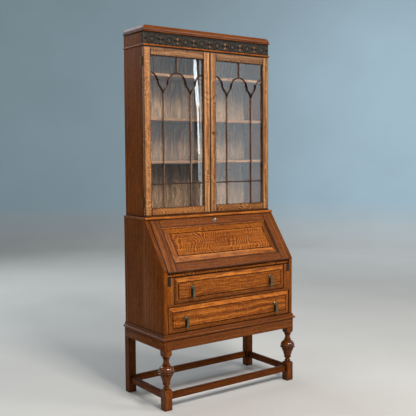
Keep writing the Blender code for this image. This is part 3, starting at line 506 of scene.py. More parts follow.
class Piece:
    """One object of the desk, gathered from parts, that stands for one or more CAD nodes."""

    def __init__(self, name):
        self.name = name
        self.shape = bmesh.new()
        self.grain = self.shape.verts.layers.float_vector.new("grain")
        self.tone = self.shape.faces.layers.float.new("tone")
        self.worn = self.shape.faces.layers.float.new("worn")
        self.soil = self.shape.verts.layers.float.new("soil")
        self.finishes = []

    def add(self, part, finish, along=Z, place=None, spread=0.10, worn=None, cut="rift", soil=0.5,
            shade=1.0):
        """Takes in a part, sawn from its own place in a log: flat, rift or quarter cut."""
        if finish not in self.finishes:
            self.finishes.append(finish)
        place = place or Matrix.Identity(4)
        axis = Vector(along).normalized()
        side = axis.orthogonal().normalized()
        turn = Matrix((axis, side, axis.cross(side)))
        wide = [(turn @ vert.co).y for vert in part.verts]
        deep = [(turn @ vert.co).z for vert in part.verts]
        if max(wide) - min(wide) < max(deep) - min(deep):
            turn = Matrix((turn[0], turn[2], turn[1]))
            wide, deep = deep, wide
        across, below = PITH[cut]
        log = Vector((chance.uniform(0.0, 9.0),
                      chance.uniform(*across) - (max(wide) + min(wide)) / 2,
                      chance.uniform(*below) - (max(deep) + min(deep)) / 2))
        # The board's tone: its own random spread, times a shade that on some boards is painted light and
        # shade.
        tone = shade * (1.0 + chance.uniform(-spread, spread))
        grime_and_shade_amount = part.verts.layers.float.get("soil")
        twins = {}
        for vert in part.verts:
            twin = self.shape.verts.new(place @ vert.co)
            twin[self.grain] = turn @ vert.co + log
            twin[self.soil] = soil * vert[grime_and_shade_amount] if grime_and_shade_amount else 0.0
            twins[vert] = twin
        for face in part.faces:
            copy = self.shape.faces.new([twins[vert] for vert in face.verts])
            copy.smooth = face.smooth
            copy.material_index = self.finishes.index(finish)
            copy[self.tone] = tone
            copy[self.worn] = worn[face.index] if worn else float(face.material_index)
        part.free()

    def object(self):
        """Turns what has been gathered into an object of the scene."""
        mesh = bpy.data.meshes.new(self.name)
        bmesh.ops.recalc_face_normals(self.shape, faces=self.shape.faces)
        self.shape.to_mesh(mesh)
        self.shape.free()
        mesh.set_sharp_from_angle(angle=math.radians(38))
        for finish in self.finishes:
            mesh.materials.append(finish)
        return placed(self.name, mesh)

    def fit(self, *nodes):
        """Puts the piece in the place of CAD nodes, on their body."""
        made = self.object()
        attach(made, BODY_OF[nodes[0]])
        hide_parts(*nodes)
        return made

    def fit_extra(self, body):
        """Adds the piece to a body, where the CAD has no node of its own for it."""
        made = self.object()
        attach(made, body)
        return made


def recess(obj, low, high, place=None):
    """Cuts a box out of a finished piece and keeps the result as its mesh."""
    cutter_shape = block(low, high, ease=0.0001, segments=1)
    mesh = bpy.data.meshes.new("recess")
    cutter_shape.to_mesh(mesh)
    cutter_shape.free()
    cutter = placed("recess", mesh)
    cutter.matrix_world = place or Matrix.Identity(4)
    boolean = obj.modifiers.new("recess", "BOOLEAN")
    boolean.object = cutter
    boolean.solver = "EXACT"
    depsgraph = bpy.context.evaluated_depsgraph_get()
    cut = bpy.data.meshes.new_from_object(obj.evaluated_get(depsgraph), preserve_all_data_layers=True,
                                          depsgraph=depsgraph)
    obj.modifiers.clear()
    obj.data = cut
    bpy.data.objects.remove(cutter)


def add_screw(piece, place, axis):
    """A countersunk slotted screw head, its slot cut as a gap between two half-heads."""
    radius = SCREW_RADIUS
    slot = radius * 0.16
    dome = radius * 0.22
    for sign in (-1, 1):
        chord = math.degrees(math.asin(slot / radius))
        rim = arc((0.0, 0.0), radius, chord, 180 - chord, 10)
        outline = [(a, sign * b) for a, b in rim]
        piece.add(cutout(outline, "Z", (-dome, dome), ease=radius * 0.12, segments=1), BRASS,
                  place=standing(place, axis))
    piece.add(turning([(0.0, -dome), (radius * 0.9, -dome), (radius * 0.9, 0.0), (0.0, 0.0)], 16), BRASS,
              place=standing(place, axis))


def knuckle(radius, length, end_radius, ease, segments):
    """One knuckle of a hinge, with its ends eased and a hair of play at each."""
    play = 0.0001
    return turning([(0.0, play), (end_radius, play), (radius, ease), (radius, length - ease),
                    (end_radius, length - play), (0.0, length - play)], segments)


def plank(node, along, finish=BODY_OAK, ease=EASED):
    """A CAD board with eased edges and its own grain, over the node's own box."""
    piece = Piece(node + "_board")
    piece.add(block(*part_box(node), ease), finish, along)
    return piece.fit(node)


def planked(node, count, across, finish):
    """A back made of upright boards side by side across an axis, with V-grooves where they meet."""
    gap = 0.0006
    groove = 0.0012
    piece = Piece(node + "_boards")
    low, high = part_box(node)
    index = "XYZ".index(across)
    width = (high[index] - low[index]) / count
    for i in range(count):
        start = low.copy()
        end = high.copy()
        start[index] = low[index] + i * width + gap / 2
        end[index] = low[index] + (i + 1) * width - gap / 2
        piece.add(block(start, end, groove), finish, Z, spread=0.14, cut="flat")
    nail = [(0.0, 0.0006), (0.0014, 0.0005), (0.0018, 0.0), (0.0018, -0.002), (0.0, -0.002)]
    for i in range(count):
        for t in (0.25, 0.75):
            for edge in (low.z + 0.012, high.z - 0.012):
                place = (low.x + (i + t) * width, high.y, edge)
                piece.add(turning(nail, 12), BRASS, place=standing(place, Y))
    return piece.fit(node)


# The stand.

LEG_LOW, LEG_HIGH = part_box("leg_back_left")
LEG_SIDE = LEG_HIGH.x - LEG_LOW.x
APRON_LOW, APRON_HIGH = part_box("apron_front")
STRETCHER_LOW, STRETCHER_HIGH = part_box("stretcher_front")
FOOT_BLOCK_TOP = 0.110
# The turning between a front leg's square blocks, from the bottom, as smooth runs of (radius, height)
# that meet at sharp arrises: cove, ring, neck, collar, cup, flange, fillet, dome, fillet, ring, neck,
# ring and fillet.
BALUSTER = [
    [(0.0205, 0.1105), (0.0165, 0.1127), (0.0140, 0.1150)],
    [(0.0158, 0.1160), (0.0174, 0.1190), (0.0162, 0.1221), (0.0138, 0.1236)],
    [(0.0131, 0.1252), (0.0129, 0.1290), (0.0138, 0.1332)],
    [(0.0175, 0.1348), (0.0206, 0.1376), (0.0209, 0.1405), (0.0198, 0.1430)],
    [(0.0176, 0.1440), (0.0200, 0.1475), (0.0222, 0.1550), (0.0250, 0.1645), (0.0281, 0.1738),
     (0.0319, 0.1816), (0.0349, 0.1880), (0.0360, 0.1935), (0.0352, 0.1972)],
    [(0.0405, 0.1984), (0.0436, 0.1996), (0.0444, 0.2012), (0.0436, 0.2030), (0.0405, 0.2044)],
    [(0.0362, 0.2050), (0.0360, 0.2068)],
    [(0.0396, 0.2074), (0.0413, 0.2096), (0.0414, 0.2140), (0.0401, 0.2188), (0.0372, 0.2250),
     (0.0330, 0.2304), (0.0284, 0.2346), (0.0235, 0.2380)],
    [(0.0190, 0.2388), (0.0186, 0.2426)],
    [(0.0197, 0.2436), (0.0205, 0.2466), (0.0194, 0.2494), (0.0176, 0.2506)],
    [(0.0160, 0.2514), (0.0154, 0.2545), (0.0153, 0.2620), (0.0156, 0.2700), (0.0163, 0.2734)],
    [(0.0182, 0.2744), (0.0199, 0.2770), (0.0190, 0.2799)],
    [(0.0152, 0.2806), (0.0152, 0.2828)],
]
# The heights between which the flange and the dome above it are polished.
DOME = (0.1990, 0.2380)
# Where the lathe has run into the square: the height of the foot's rounded shoulder, the bowl's bottom
# and top, the radius of the neck below the bowl, and how far the blocks' ends and corners are eased.
FOOT_SHOULDER = 0.010
BOWL_BOTTOM = 0.2836
BOWL_TOP = 0.3060
BOWL_NECK = 0.0170
BLOCK_EASE = 0.003
BLOCK_CORNER = 0.0016
LEG_TOP = APRON_LOW.z - CLEARANCE
TENON = 0.024


def square_radius(angle, half, corner):
    """How far a square with rounded corners reaches at an angle from its middle."""
    a = abs((angle + math.pi / 4) % (math.pi / 2) - math.pi / 4)
    plain = half / math.cos(a)
    centre = half - corner
    reach = centre * math.cos(a) + centre * math.sin(a)
    inside = corner ** 2 - 2 * centre ** 2 + reach ** 2
    if plain * math.sin(a) <= centre or inside < 0:
        return plain
    return reach + math.sqrt(inside)


def leg_section(centre, height, radius, square):
    """A ring of points round a leg: a circle, cut to the square block's outline where it has one."""
    steps = 96
    ring = []
    for i in range(steps):
        angle = 2 * math.pi * i / steps
        limit = square_radius(angle, LEG_SIDE / 2, BLOCK_CORNER) if square else radius
        reach = min(limit, radius)
        ring.append(Vector((centre.x + reach * math.cos(angle), centre.y + reach * math.sin(angle), height)))
    return ring


def build_front_leg(hand):
    """A front leg worked from one post: square blocks whose corners the lathe has cut back."""
    node = "leg_front_" + hand
    low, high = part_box(node)
    centre = (low + high) / 2
    half = LEG_SIDE / 2
    full = half * math.sqrt(2)
    rings = [leg_section(centre, 0.0, full - BLOCK_EASE, True), leg_section(centre, 0.0012, full, True),
             leg_section(centre, FOOT_BLOCK_TOP - FOOT_SHOULDER, full, True)]
    steps = 8
    foot = BALUSTER[0][0][0]
    for i in range(1, steps + 1):
        turn = i / steps * math.pi / 2
        rings.append(leg_section(centre, FOOT_BLOCK_TOP - FOOT_SHOULDER * (1 - math.sin(turn)),
                                 foot + (full - foot) * math.cos(turn), True))
    for run in BALUSTER:
        rings += [leg_section(centre, height, radius, False) for radius, height in smoothed(run, 3)]
    for i in range(steps + 4):
        turn = i / (steps + 3) * math.pi / 2
        rings.append(leg_section(centre, BOWL_BOTTOM + (BOWL_TOP - BOWL_BOTTOM) * (1 - math.cos(turn)),
                                 BOWL_NECK + (full - BOWL_NECK) * math.sin(turn), True))
    rings += [leg_section(centre, LEG_TOP - 0.001, full, True),
              leg_section(centre, LEG_TOP, full - BLOCK_EASE, True)]
    piece = Piece(node + "_turned")
    post = bridged(rings)
    polished = [1.0 if DOME[0] < face.calc_center_median().z < DOME[1] else 0.0 for face in post.faces]
    piece.add(post, SHADED_TURNED_OAK, Z, worn=polished)
    add_post(piece, node)
    add_pegs(piece, centre, hand, -1)
    return piece.fit(node)


def add_post(piece, node):
    """The square tenon that a leg carries up behind the aprons."""
    low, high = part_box(node)
    side = 1 if low.x > 0 else -1
    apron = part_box("apron_" + ("right" if side > 0 else "left"))
    inner = apron[0].x if side > 0 else apron[1].x
    front = low.y < 0 and "front" in node
    y = APRON_HIGH.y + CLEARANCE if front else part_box("apron_back")[0].y - CLEARANCE
    x_span = sorted((inner - side * CLEARANCE, inner - side * (CLEARANCE + TENON)))
    y_span = sorted((y, y + TENON if front else y - TENON))
    piece.add(block((x_span[0], y_span[0], LEG_TOP - 0.004), (x_span[1], y_span[1], high.z)), BODY_OAK)


def add_pegs(piece, centre, hand, facing):
    """Two oak pegs through the stretcher joints, one on the leg's outer side and one on its face."""
    side = -1 if hand == "left" else 1
    height = (STRETCHER_LOW.z + STRETCHER_HIGH.z) / 2
    head = [(0.0, 0.0004), (PEG_RADIUS * 0.7, 0.0003), (PEG_RADIUS, 0.0), (PEG_RADIUS, -0.003), (0.0, -0.003)]
    half = LEG_SIDE / 2
    for place, axis in (((centre.x + side * half, centre.y, height + 0.004), X * side),
                        ((centre.x, centre.y + facing * half, height - 0.005), Y * facing)):
        piece.add(turning(head, 14), BODY_OAK, X, place=standing(place, axis))


def build_back_leg(hand):
    """A square post, with its tenon behind the aprons and its pegs."""
    node = "leg_back_" + hand
    low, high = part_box(node)
    piece = Piece(node + "_post")
    piece.add(block(low, (high.x, high.y, LEG_TOP), WORN_EDGE, 3), SHADED_STAND_OAK)
    add_post(piece, node)
    centre = Vector(((low.x + high.x) / 2, (low.y + high.y) / 2, 0.0))
    add_pegs(piece, centre, hand, 1)
    return piece.fit(node)


def build_stand():
    """Four legs joined by aprons at the top and stretchers near the floor."""
    for side, hand in HANDS:
        build_front_leg(hand)
        build_back_leg(hand)
        low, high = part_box("apron_" + hand)
        outer, inner = (low.x, high.x) if side < 0 else (high.x, low.x)
        lap = side * (APRON_HIGH.x + CLEARANCE)
        front = APRON_HIGH.y + CLEARANCE
        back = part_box("apron_back")[0].y - CLEARANCE
        plan = [(outer, low.y), (outer, high.y), (lap, high.y), (lap, back),
                (inner, back), (inner, front), (lap, front), (lap, low.y)]
        piece = Piece("apron_{}_rebated".format(hand))
        piece.add(cutout(plan, "Z", (low.z, high.z)), BODY_OAK, Y)
        piece.fit("apron_" + hand)
        plank("stretcher_" + hand, Y, SHADED_STAND_OAK, WORN_EDGE)
    for face in ("front", "back"):
        plank("apron_" + face, X, FRAME_OAK if face == "front" else BODY_OAK)
        # Painted light and shade: the back stretcher takes the lighter body oak, the front one the darker
        # stand oak.
        plank("stretcher_" + face, X, SHADED_STAND_OAK if face == "front" else BODY_OAK, WORN_EDGE)


# The bureau.

def round_three_sides(piece, section, half_x, front, back, z, finish):
    """A moulding round the left side, front and right side, mitred at the two front corners."""
    corners = ((-half_x, back, z), (-half_x, front, z), (half_x, front, z), (half_x, back, z))
    outs = (-X, -Y, X)
    ends = ((0.0, 1.0), (1.0, 1.0), (1.0, 0.0))
    for start, end, out, mitres in zip(corners, corners[1:], outs, ends):
        along = (Vector(end) - Vector(start)).normalized()
        nudge = along * JOINT / 2
        first = Vector(start) + (nudge if mitres[0] else Vector())
        last = Vector(end) - (nudge if mitres[1] else Vector())
        piece.add(strip(section, first, last, out, Z, mitres), finish, along)


def build_base_board():
    """The bureau's bottom board, with a stepped moulding planted round its edge."""
    low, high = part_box("base_board")
    side_low, side_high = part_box("bureau_side_right")
    half = side_high.x
    front = side_low.y
    height = high.z - low.z
    reach = high.x - half
    core = 0.002
    piece = Piece("base_board_moulded")
    piece.add(block((-half, front, low.z), (half, high.y, high.z)), BODY_OAK, X)
    torus = height * 0.20
    section = [(-core, 0.0), (reach - torus - 0.003, 0.0), (reach - torus - 0.001, 0.0015)]
    section += arc((reach - torus, torus + 0.0025), torus, -70, 80, 9)
    fillet = 2 * torus + 0.0030
    fillet_top = fillet + 0.0016
    section += [(reach - torus - 0.0005, fillet), (reach - torus - 0.0005, fillet_top)]
    root = 0.0045
    cove = height - fillet - 0.0016 - 0.0035
    section += [(root + (reach - torus - 0.0065) * (1 - math.sin(t)), fillet_top + cove * (1 - math.cos(t)))
                for t in quarter_turn(7)]
    section += [(root, height - 0.0028), (0.0032, height - 0.0008), (-core, height)]
    round_three_sides(piece, section, half, front, high.y, low.z, FRAME_OAK)
    return piece.fit("base_board")


FALL_JOINT = JOINTS["fall_hinge"]
FALL_PIVOT = Vector(FALL_JOINT["pos_m"])
SLOPE = math.radians(180.0 - FALL_JOINT["range_deg"][1])
UP_SLOPE = Vector((0.0, math.cos(SLOPE), math.sin(SLOPE)))
OUT_OF_SLOPE = Vector((0.0, -math.sin(SLOPE), math.cos(SLOPE)))
FALL_PLACE = Matrix.Translation(FALL_PIVOT) @ Matrix.Rotation(SLOPE, 4, "X")
FALL_LOW, FALL_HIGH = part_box("fall_frame")
FALL_THICKNESS = (FALL_PIVOT.y - FALL_LOW.y) / math.sin(SLOPE)
FALL_LENGTH = (FALL_HIGH.z - FALL_PIVOT.z - FALL_THICKNESS * math.cos(SLOPE)) / math.sin(SLOPE)


def slope_at(y=None, z=None):
    """The (y, z) point of the fall's outer plane at a given y or z."""
    base = FALL_PIVOT + OUT_OF_SLOPE * FALL_THICKNESS
    if z is None:
        return y, base.z + (y - base.y) * math.tan(SLOPE)
    return base.y + (z - base.z) / math.tan(SLOPE), z


def build_bureau_side(hand):
    """A side of two boards; three reeds are worked along its sloping edge."""
    node = "bureau_side_" + hand
    low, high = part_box(node)
    depth = 0.0030
    foot = slope_at(y=low.y)
    head = slope_at(z=high.z)
    inset = OUT_OF_SLOPE * -depth
    drop = depth / math.cos(SLOPE)
    set_back = depth / math.sin(SLOPE)
    seam = (low.y + high.y) / 2 + 0.012
    outline = [(low.y, low.z), (seam - JOINT / 2, low.z), (seam - JOINT / 2, high.z),
               (head[0] + set_back, high.z), (low.y, foot[1] - drop)]
    piece = Piece(node + "_reeded")
    piece.add(cutout(outline, "X", (low.x, high.x), ease=0.0008), BODY_OAK, spread=0.0, shade=1.06)
    piece.add(block((low.x, seam + JOINT / 2, low.z), (high.x, high.y, high.z), 0.0008), BODY_OAK,
              spread=0.0, shade=0.94)
    width = high.x - low.x
    reeds = 3
    pitch = width / reeds
    spring = depth - 0.0021
    flatness = 0.32
    section = [(depth - 0.004, 0.0)]
    for i in range(reeds):
        crown = arc(((i + 0.5) * pitch, spring), pitch / 2 - 0.0007, 160, 20, 8)
        valleys = (crown[0][0], crown[-1][0])
        section += [(spring - 0.0002 + (b - spring) * flatness, a, 1.0 if a in valleys else 0.0)
                    for a, b in crown]
    section += [(depth - 0.004, width)]
    start = Vector((low.x, foot[0], foot[1])) + inset
    end = Vector((low.x, head[0], head[1])) + inset
    tilt = math.tan(SLOPE)
    start -= UP_SLOPE * depth * tilt
    end += UP_SLOPE * depth / tilt
    piece.add(strip(section, start, end, OUT_OF_SLOPE, X, (-tilt, -1 / tilt)), BODY_OAK, UP_SLOPE, soil=1.0)
    return piece.fit(node)


def build_bureau_top():
    """The top board, its front edge rounded to a nosing."""
    low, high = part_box("bureau_top")
    radius = (high.z - low.z) / 2
    nose = arc((low.y + radius, low.z + radius), radius, 90, 270, 14)
    outline = nose + [(high.y, low.z), (high.y, high.z)]
    piece = Piece("bureau_top_board")
    piece.add(cutout(outline, "X", (low.x, high.x), ease=0.0007, segments=1), FRONT_OAK, X)
    return piece.fit("bureau_top")


def hinge_span(hand):
    """Where a fall hinge lies across the desk."""
    low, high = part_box("fall_hinge_" + hand)
    return low.x, high.x


def build_writing_bed():
    """Boards glued edge to edge, with a lipping that leaves room for the hinge knuckles."""
    low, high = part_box("writing_bed")
    lip = 0.0032
    piece = Piece("writing_bed_boards")
    count = 3
    depth = (high.y - low.y - lip) / count
    for i in range(count):
        start = (low.x, low.y + lip + i * depth + JOINT / 2, low.z)
        end = (high.x, low.y + lip + (i + 1) * depth - JOINT / 2, high.z)
        piece.add(block(start, end, 0.0003, 1), BODY_OAK, X)
    knuckle_room = 0.0028
    piece.add(block(low, (high.x, low.y + lip - JOINT, high.z - knuckle_room), 0.0005),
              TIGER_OAK, X, cut="quarter", soil=0.8)
    return piece.fit("writing_bed")


def build_loper(side, hand):
    """A loper, and the stile, partition and ledge that guide it."""
    node = "loper_guide_" + hand
    low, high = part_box(node)
    loper_low, loper_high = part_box("loper_" + hand)
    inner, outer = (high.x, low.x) if side < 0 else (low.x, high.x)
    slack = 0.0006
    notch = (loper_high.x + slack) if side < 0 else (loper_low.x - slack)
    ledge_top = loper_low.z - CLEARANCE
    stile = [(inner, low.z), (outer, low.z), (outer, ledge_top), (notch, ledge_top),
             (notch, high.z), (inner, high.z)]
    depth = 0.020
    partition_wide = 0.010
    ledge_tall = 0.012
    behind = low.y + depth + JOINT
    piece = Piece(node + "_joined")
    piece.add(cutout(stile, "Y", (low.y, low.y + depth), 0.0006), FRONT_OAK)
    x0, x1 = sorted((inner, inner + side * partition_wide))
    piece.add(block((x0, behind, low.z), (x1, high.y, high.z)), PALE_OAK, Y)
    x0, x1 = sorted((inner + side * (partition_wide + JOINT), outer))
    piece.add(block((x0, behind, ledge_top - ledge_tall), (x1, high.y, ledge_top)), PALE_OAK, Y)
    piece.fit(node)
    piece = Piece("loper_{}_slide".format(hand))
    piece.add(block(loper_low, loper_high, 0.0008, 3), EBONISED, Y)
    piece.fit("loper_" + hand)


def build_pigeonholes():
    """Thin boards: five pigeonholes over three wider ones, their front edges rounded."""
    low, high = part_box("pigeonhole_rack")
    wall = 0.006
    holes = {op["name"]: op["box_m"] for op in RECORD["physics"]["openings"]}
    shelf_top = holes["pigeonhole_upper_1"][0][2] - CLEARANCE
    piece = Piece("pigeonhole_rack_boards")
    thin = 0.0018
    for z in (low.z, shelf_top - wall, high.z - wall):
        piece.add(block((low.x, low.y, z), (high.x, high.y, z + wall), thin, 3), PALE_OAK, X)
    for x in (low.x, high.x - wall):
        for z0, z1 in ((low.z + wall, shelf_top - wall), (shelf_top, high.z - wall)):
            piece.add(block((x, low.y + 0.0005, z0), (x + wall, high.y, z1), thin, 3), PALE_OAK, Z)
    for level, count, z0, z1 in (("upper", 5, shelf_top, high.z - wall),
                                 ("lower", 3, low.z + wall, shelf_top - wall)):
        for i in range(1, count):
            x = holes["pigeonhole_{}_{}".format(level, i)][1][0] + CLEARANCE
            piece.add(block((x, low.y + 0.0015, z0), (x + wall, high.y, z1), thin, 3), PALE_OAK, Z)
    return piece.fit("pigeonhole_rack")


# A fielded board's sides, from its bottom round to its left: (ovolo's tone, bevel's tone, painted shade and
# grime, wear and painted highlight). The tones are painted light and shade, set by how the light falls on
# each side.
FALL_SIDE_LIGHT = ((0.42, 1.10, 1.0, 0.9), (0.30, 0.62, 1.0, 0.0), (1.30, 0.92, 0.4, 0.2), (0.28, 0.92, 1.0, 0.0))
DRAWER_SIDE_LIGHT = ((1.0, 0.78, 1.0, 0.0), (1.0, 0.85, 0.8, 0.0), (1.0, 1.22, 0.25, 1.0), (1.0, 0.72, 0.8, 0.0))
DRAWER_SHADE = {"upper": 1.0, "lower": 1.16}
TOP_SIDE = 2


def add_fielding(piece, low, high, base, ovolo, bevel, rise, finishes, place, sides, shade=1.0):
    """A raised field on a board's face, in its own frame (a, b, height), with its grain along a.

    From the edge inward: an ovolo if the board sits in a frame, a groove, a flat bevel that climbs to a
    sharp arris, a second groove, and the flat field. The first finish is for the mouldings, the second
    for the top bevel and the field. The sides are rows of painted light and shade, like the fall's.
    """
    corners = ((low[0], low[1]), (high[0], low[1]), (high[0], high[1]), (low[0], high[1]))
    inward = (Y, -X, -Y, X)
    root = -0.001
    sections = []
    foot = GROOVE
    if ovolo:
        quarter = arc((0.0, 0.0), 1.0, 90, 0, 6)
        sections.append([(0.0, root, 1.0)] + [(ovolo * a, 0.0006 + rise * 0.62 * b, 0.8 * a ** 4)
                                              for a, b in quarter] + [(ovolo, root, 1.0)])
        foot += ovolo
    crest = foot + bevel
    arris = 0.0012
    climb = (rise - 0.8 * arris) / bevel
    sections.append([(foot, root, 1.0), (foot, 0.0004, 1.0), (foot + 0.0035, 0.0004 + 0.0035 * climb, 0.0),
                     (crest - 1.6 * arris, rise - 0.8 * arris, 0.0),
                     (crest - 0.6 * arris, rise - 0.5 * arris, 0.4),
                     (crest, rise - 1.3 * arris, 1.0), (crest, root, 1.0)])
    for section in sections:
        for i in range(4):
            a = Vector((*corners[i], base))
            b = Vector((*corners[(i + 1) % 4], base))
            along = (b - a).normalized()
            a += along * JOINT
            b -= along * JOINT
            part = strip(section, a, b, inward[i], Z, (-1.0, -1.0))
            # Each side's tones, shade and grime, and highlight are painted light and shade on its moulding
            # and bevel.
            frame_painted_light, tone, soil, wear_and_highlight_amount = sides[i]
            rubbed_and_highlit = [wear_and_highlight_amount if face.normal.dot(Z) > 0.75 else 0.0 for face in part.faces]
            is_bevel = section is sections[-1]
            piece.add(part, finishes[is_bevel and i == TOP_SIDE], along, place=place, spread=0.04,
                      worn=rubbed_and_highlit, cut="quarter", soil=soil, shade=shade * (tone if is_bevel else frame_painted_light))
    edge = crest + GROOVE
    field = block((low[0] + edge, low[1] + edge, base - 0.001), (high[0] - edge, high[1] - edge, base + rise),
                  0.0009)
    piece.add(field, finishes[1], X, place=place, spread=0.04, cut="quarter", soil=0.6, shade=shade)


def build_fall():
    """Stiles, rails and a fielded panel, in the fall's own frame: x across, y up the slope, z outward."""
    half = FALL_HIGH.x
    panel_low, panel_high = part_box("fall_panel")
    stile = FALL_HIGH.x - panel_high.x - CLEARANCE
    panel_back = 0.003
    panel_face = 0.010
    bottom_rail = (panel_low.z - FALL_PIVOT.z - panel_back * math.cos(SLOPE)) / math.sin(SLOPE) - CLEARANCE
    knob = (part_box("fall_knob")[0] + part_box("fall_knob")[1]) / 2
    top_rail = 2 * (FALL_LENGTH - (knob - FALL_PIVOT).dot(UP_SLOPE))
    thick = FALL_THICKNESS
    piece = Piece("fall_frame_joined")
    for side in (-1, 1):
        x = sorted((side * half, side * (half - stile + JOINT)))
        piece.add(block((x[0], 0.0, 0.0), (x[1], FALL_LENGTH, thick), 0.0009), FRAME_OAK, Y, place=FALL_PLACE,
                  cut="quarter", soil=1.0, spread=0.03)
    reach = half - stile
    for y0, y1 in ((0.0, bottom_rail), (FALL_LENGTH - top_rail, FALL_LENGTH)):
        piece.add(block((-reach, y0, 0.0), (reach, y1, thick), 0.0009), FRAME_OAK, X, place=FALL_PLACE,
                  cut="quarter", soil=0.8, spread=0.03)
    made = piece.fit("fall_frame")
    for _, hand in HANDS:
        x0, x1 = hinge_span(hand)
        for below, reach_up, deep in ((-0.002, LEAF_END + CLEARANCE, 0.0019), (-0.003, 0.0027, 0.0027)):
            recess(made, (x0 - CLEARANCE, below, -0.002), (x1 + CLEARANCE, reach_up, deep), FALL_PLACE)

    piece = Piece("fall_panel_fielded")
    low = (-reach + JOINT, bottom_rail + JOINT)
    high = (reach - JOINT, FALL_LENGTH - top_rail - JOINT)
    piece.add(block((*low, panel_back), (*high, panel_face), 0.0004, 1), FRONT_OAK, X, place=FALL_PLACE)
    add_fielding(piece, low, high, base=panel_face, ovolo=0.0060, bevel=0.032, rise=0.0068,
                 finishes=(FRONT_OAK, TIGER_OAK), place=FALL_PLACE, sides=FALL_SIDE_LIGHT)
    piece.fit("fall_panel")

    profile = [(0.0, 0.0165), (0.0030, 0.0162), (0.0062, 0.0150), (0.0082, 0.0128), (0.0086, 0.0108),
               (0.0074, 0.0086), (0.0050, 0.0070), (0.0042, 0.0054), (0.0045, 0.0040), (0.0062, 0.0030),
               (0.0096, 0.0022), (0.0109, 0.0012), (0.0110, 0.0), (0.0, 0.0)]
    piece = Piece("fall_knob_turned")
    seat = FALL_PLACE @ Vector((0.0, FALL_LENGTH - top_rail / 2, thick + 0.0002))
    piece.add(turning(profile, 36), BRIGHT_BRASS, place=standing(seat, OUT_OF_SLOPE))
    piece.fit("fall_knob")

    for _, hand in HANDS:
        build_fall_hinge(hand)


def build_fall_hinge(hand):
    """The moving leaf and its knuckles ride on the fall; the fixed leaf is let into the bed."""
    x0, x1 = hinge_span(hand)
    moving = Piece("fall_hinge_{}_leaf".format(hand))
    leaf = block((x0, LEAF_START, LEAF_BACK), (x1, LEAF_END, 0.0016), LEAF_EASE, 1)
    moving.add(leaf, DARK_BRASS, place=FALL_PLACE)
    fixed = Piece("fall_hinge_{}_bed_leaf".format(hand))
    bed_top = FALL_PIVOT.z
    fixed.add(block((x0, FALL_PIVOT.y + LEAF_START, bed_top - 0.0012),
                    (x1, FALL_PIVOT.y + LEAF_END, bed_top + 0.0001), LEAF_EASE, 1), DARK_BRASS)
    radius = 0.0021
    width = (x1 - x0) / KNUCKLES
    for i in range(KNUCKLES):
        place = standing((x0 + i * width, FALL_PIVOT.y, FALL_PIVOT.z), X)
        barrel = knuckle(radius, width, radius * 0.86, 0.0004, 18)
        (fixed if i % 2 else moving).add(barrel, DARK_BRASS, place=place)
    for t in SCREW_PLACES:
        x = x0 + t * (x1 - x0)
        y = 0.0175 if t == 0.5 else 0.0115
        add_screw(moving, FALL_PLACE @ Vector((x, y, LEAF_BACK)), -OUT_OF_SLOPE)
        add_screw(fixed, (x, FALL_PIVOT.y + y, bed_top + 0.0001), Z)
    moving.fit("fall_hinge_" + hand)
    fixed.fit_extra("carcass")


def build_drawer(level):
    """A drawer: fielded front, and a box of thin boards behind it."""
    node = level + "_drawer_front"
    low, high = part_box(node)
    rise = 0.006
    face = low.y + rise
    place = Matrix.Translation((0.0, face, 0.0)) @ Matrix.Rotation(math.pi / 2, 4, "X")
    piece = Piece(node + "_fielded")
    play = 0.0022
    front_low = Vector((low.x + play, face, low.z + play / 2))
    front_high = Vector((high.x - play, high.y, high.z - play / 2))
    piece.add(block(front_low, front_high, 0.0008), FRONT_OAK, X, cut="quarter")
    add_fielding(piece, (front_low.x, front_low.z), (front_high.x, front_high.z), base=0.0, ovolo=0.0,
                 bevel=0.0225, rise=rise, finishes=(FRONT_OAK, FRONT_OAK), place=place,
                 sides=DRAWER_SIDE_LIGHT, shade=DRAWER_SHADE[level])
    piece.fit(node)

    node = level + "_drawer_box"
    low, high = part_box(node)
    wall = 0.010
    floor = 0.008
    piece = Piece(node + "_boards")
    for x in (low.x, high.x - wall):
        piece.add(block((x, low.y, low.z), (x + wall, high.y, high.z), 0.0012), PALE_OAK, Y)
    inner = (low.x + wall + JOINT, high.x - wall - JOINT)
    for y in (low.y, high.y - wall):
        piece.add(block((inner[0], y, low.z), (inner[1], y + wall, high.z - 0.001), 0.0012), PALE_OAK, X)
    span = (low.y + wall + JOINT, high.y - wall - JOINT)
    count = 3
    width = (inner[1] - inner[0]) / count
    for i in range(count):
        piece.add(block((inner[0] + i * width, span[0], low.z + 0.0005),
                        (inner[0] + (i + 1) * width - JOINT, span[1], low.z + floor), 0.0004, 1), PALE_OAK, Y)
    piece.fit(node)
    for _, hand in HANDS:
        build_handle(level, hand)


# A plate's dark tail, a black plate that also stands as a painted shadow of the drop, and a drop's outline:
# (share of its length from the top, half width, half depth).
TAIL_HALF_WIDTH = 0.0056
TAIL_REACH = 0.0440
TAIL_THICKNESS = 0.0016
DROP = [(0.000, 0.0020, 0.0012), (0.015, 0.0050, 0.0026), (0.050, 0.0066, 0.0032),
        (0.100, 0.0068, 0.0034), (0.150, 0.0060, 0.0032), (0.185, 0.0055, 0.0030),
        (0.210, 0.0064, 0.0034), (0.235, 0.0068, 0.0036), (0.270, 0.0068, 0.0034),
        (0.450, 0.0076, 0.0035), (0.650, 0.0082, 0.0036), (0.820, 0.0087, 0.0038),
        (0.900, 0.0087, 0.0038), (0.950, 0.0081, 0.0036), (0.982, 0.0060, 0.0028),
        (1.000, 0.0020, 0.0010)]


def oval(wide, deep, steps):
    """Points round an oval with these half sizes."""
    angles = [2 * math.pi * i / steps for i in range(steps)]
    return [(wide * math.cos(angle), deep * math.sin(angle)) for angle in angles]


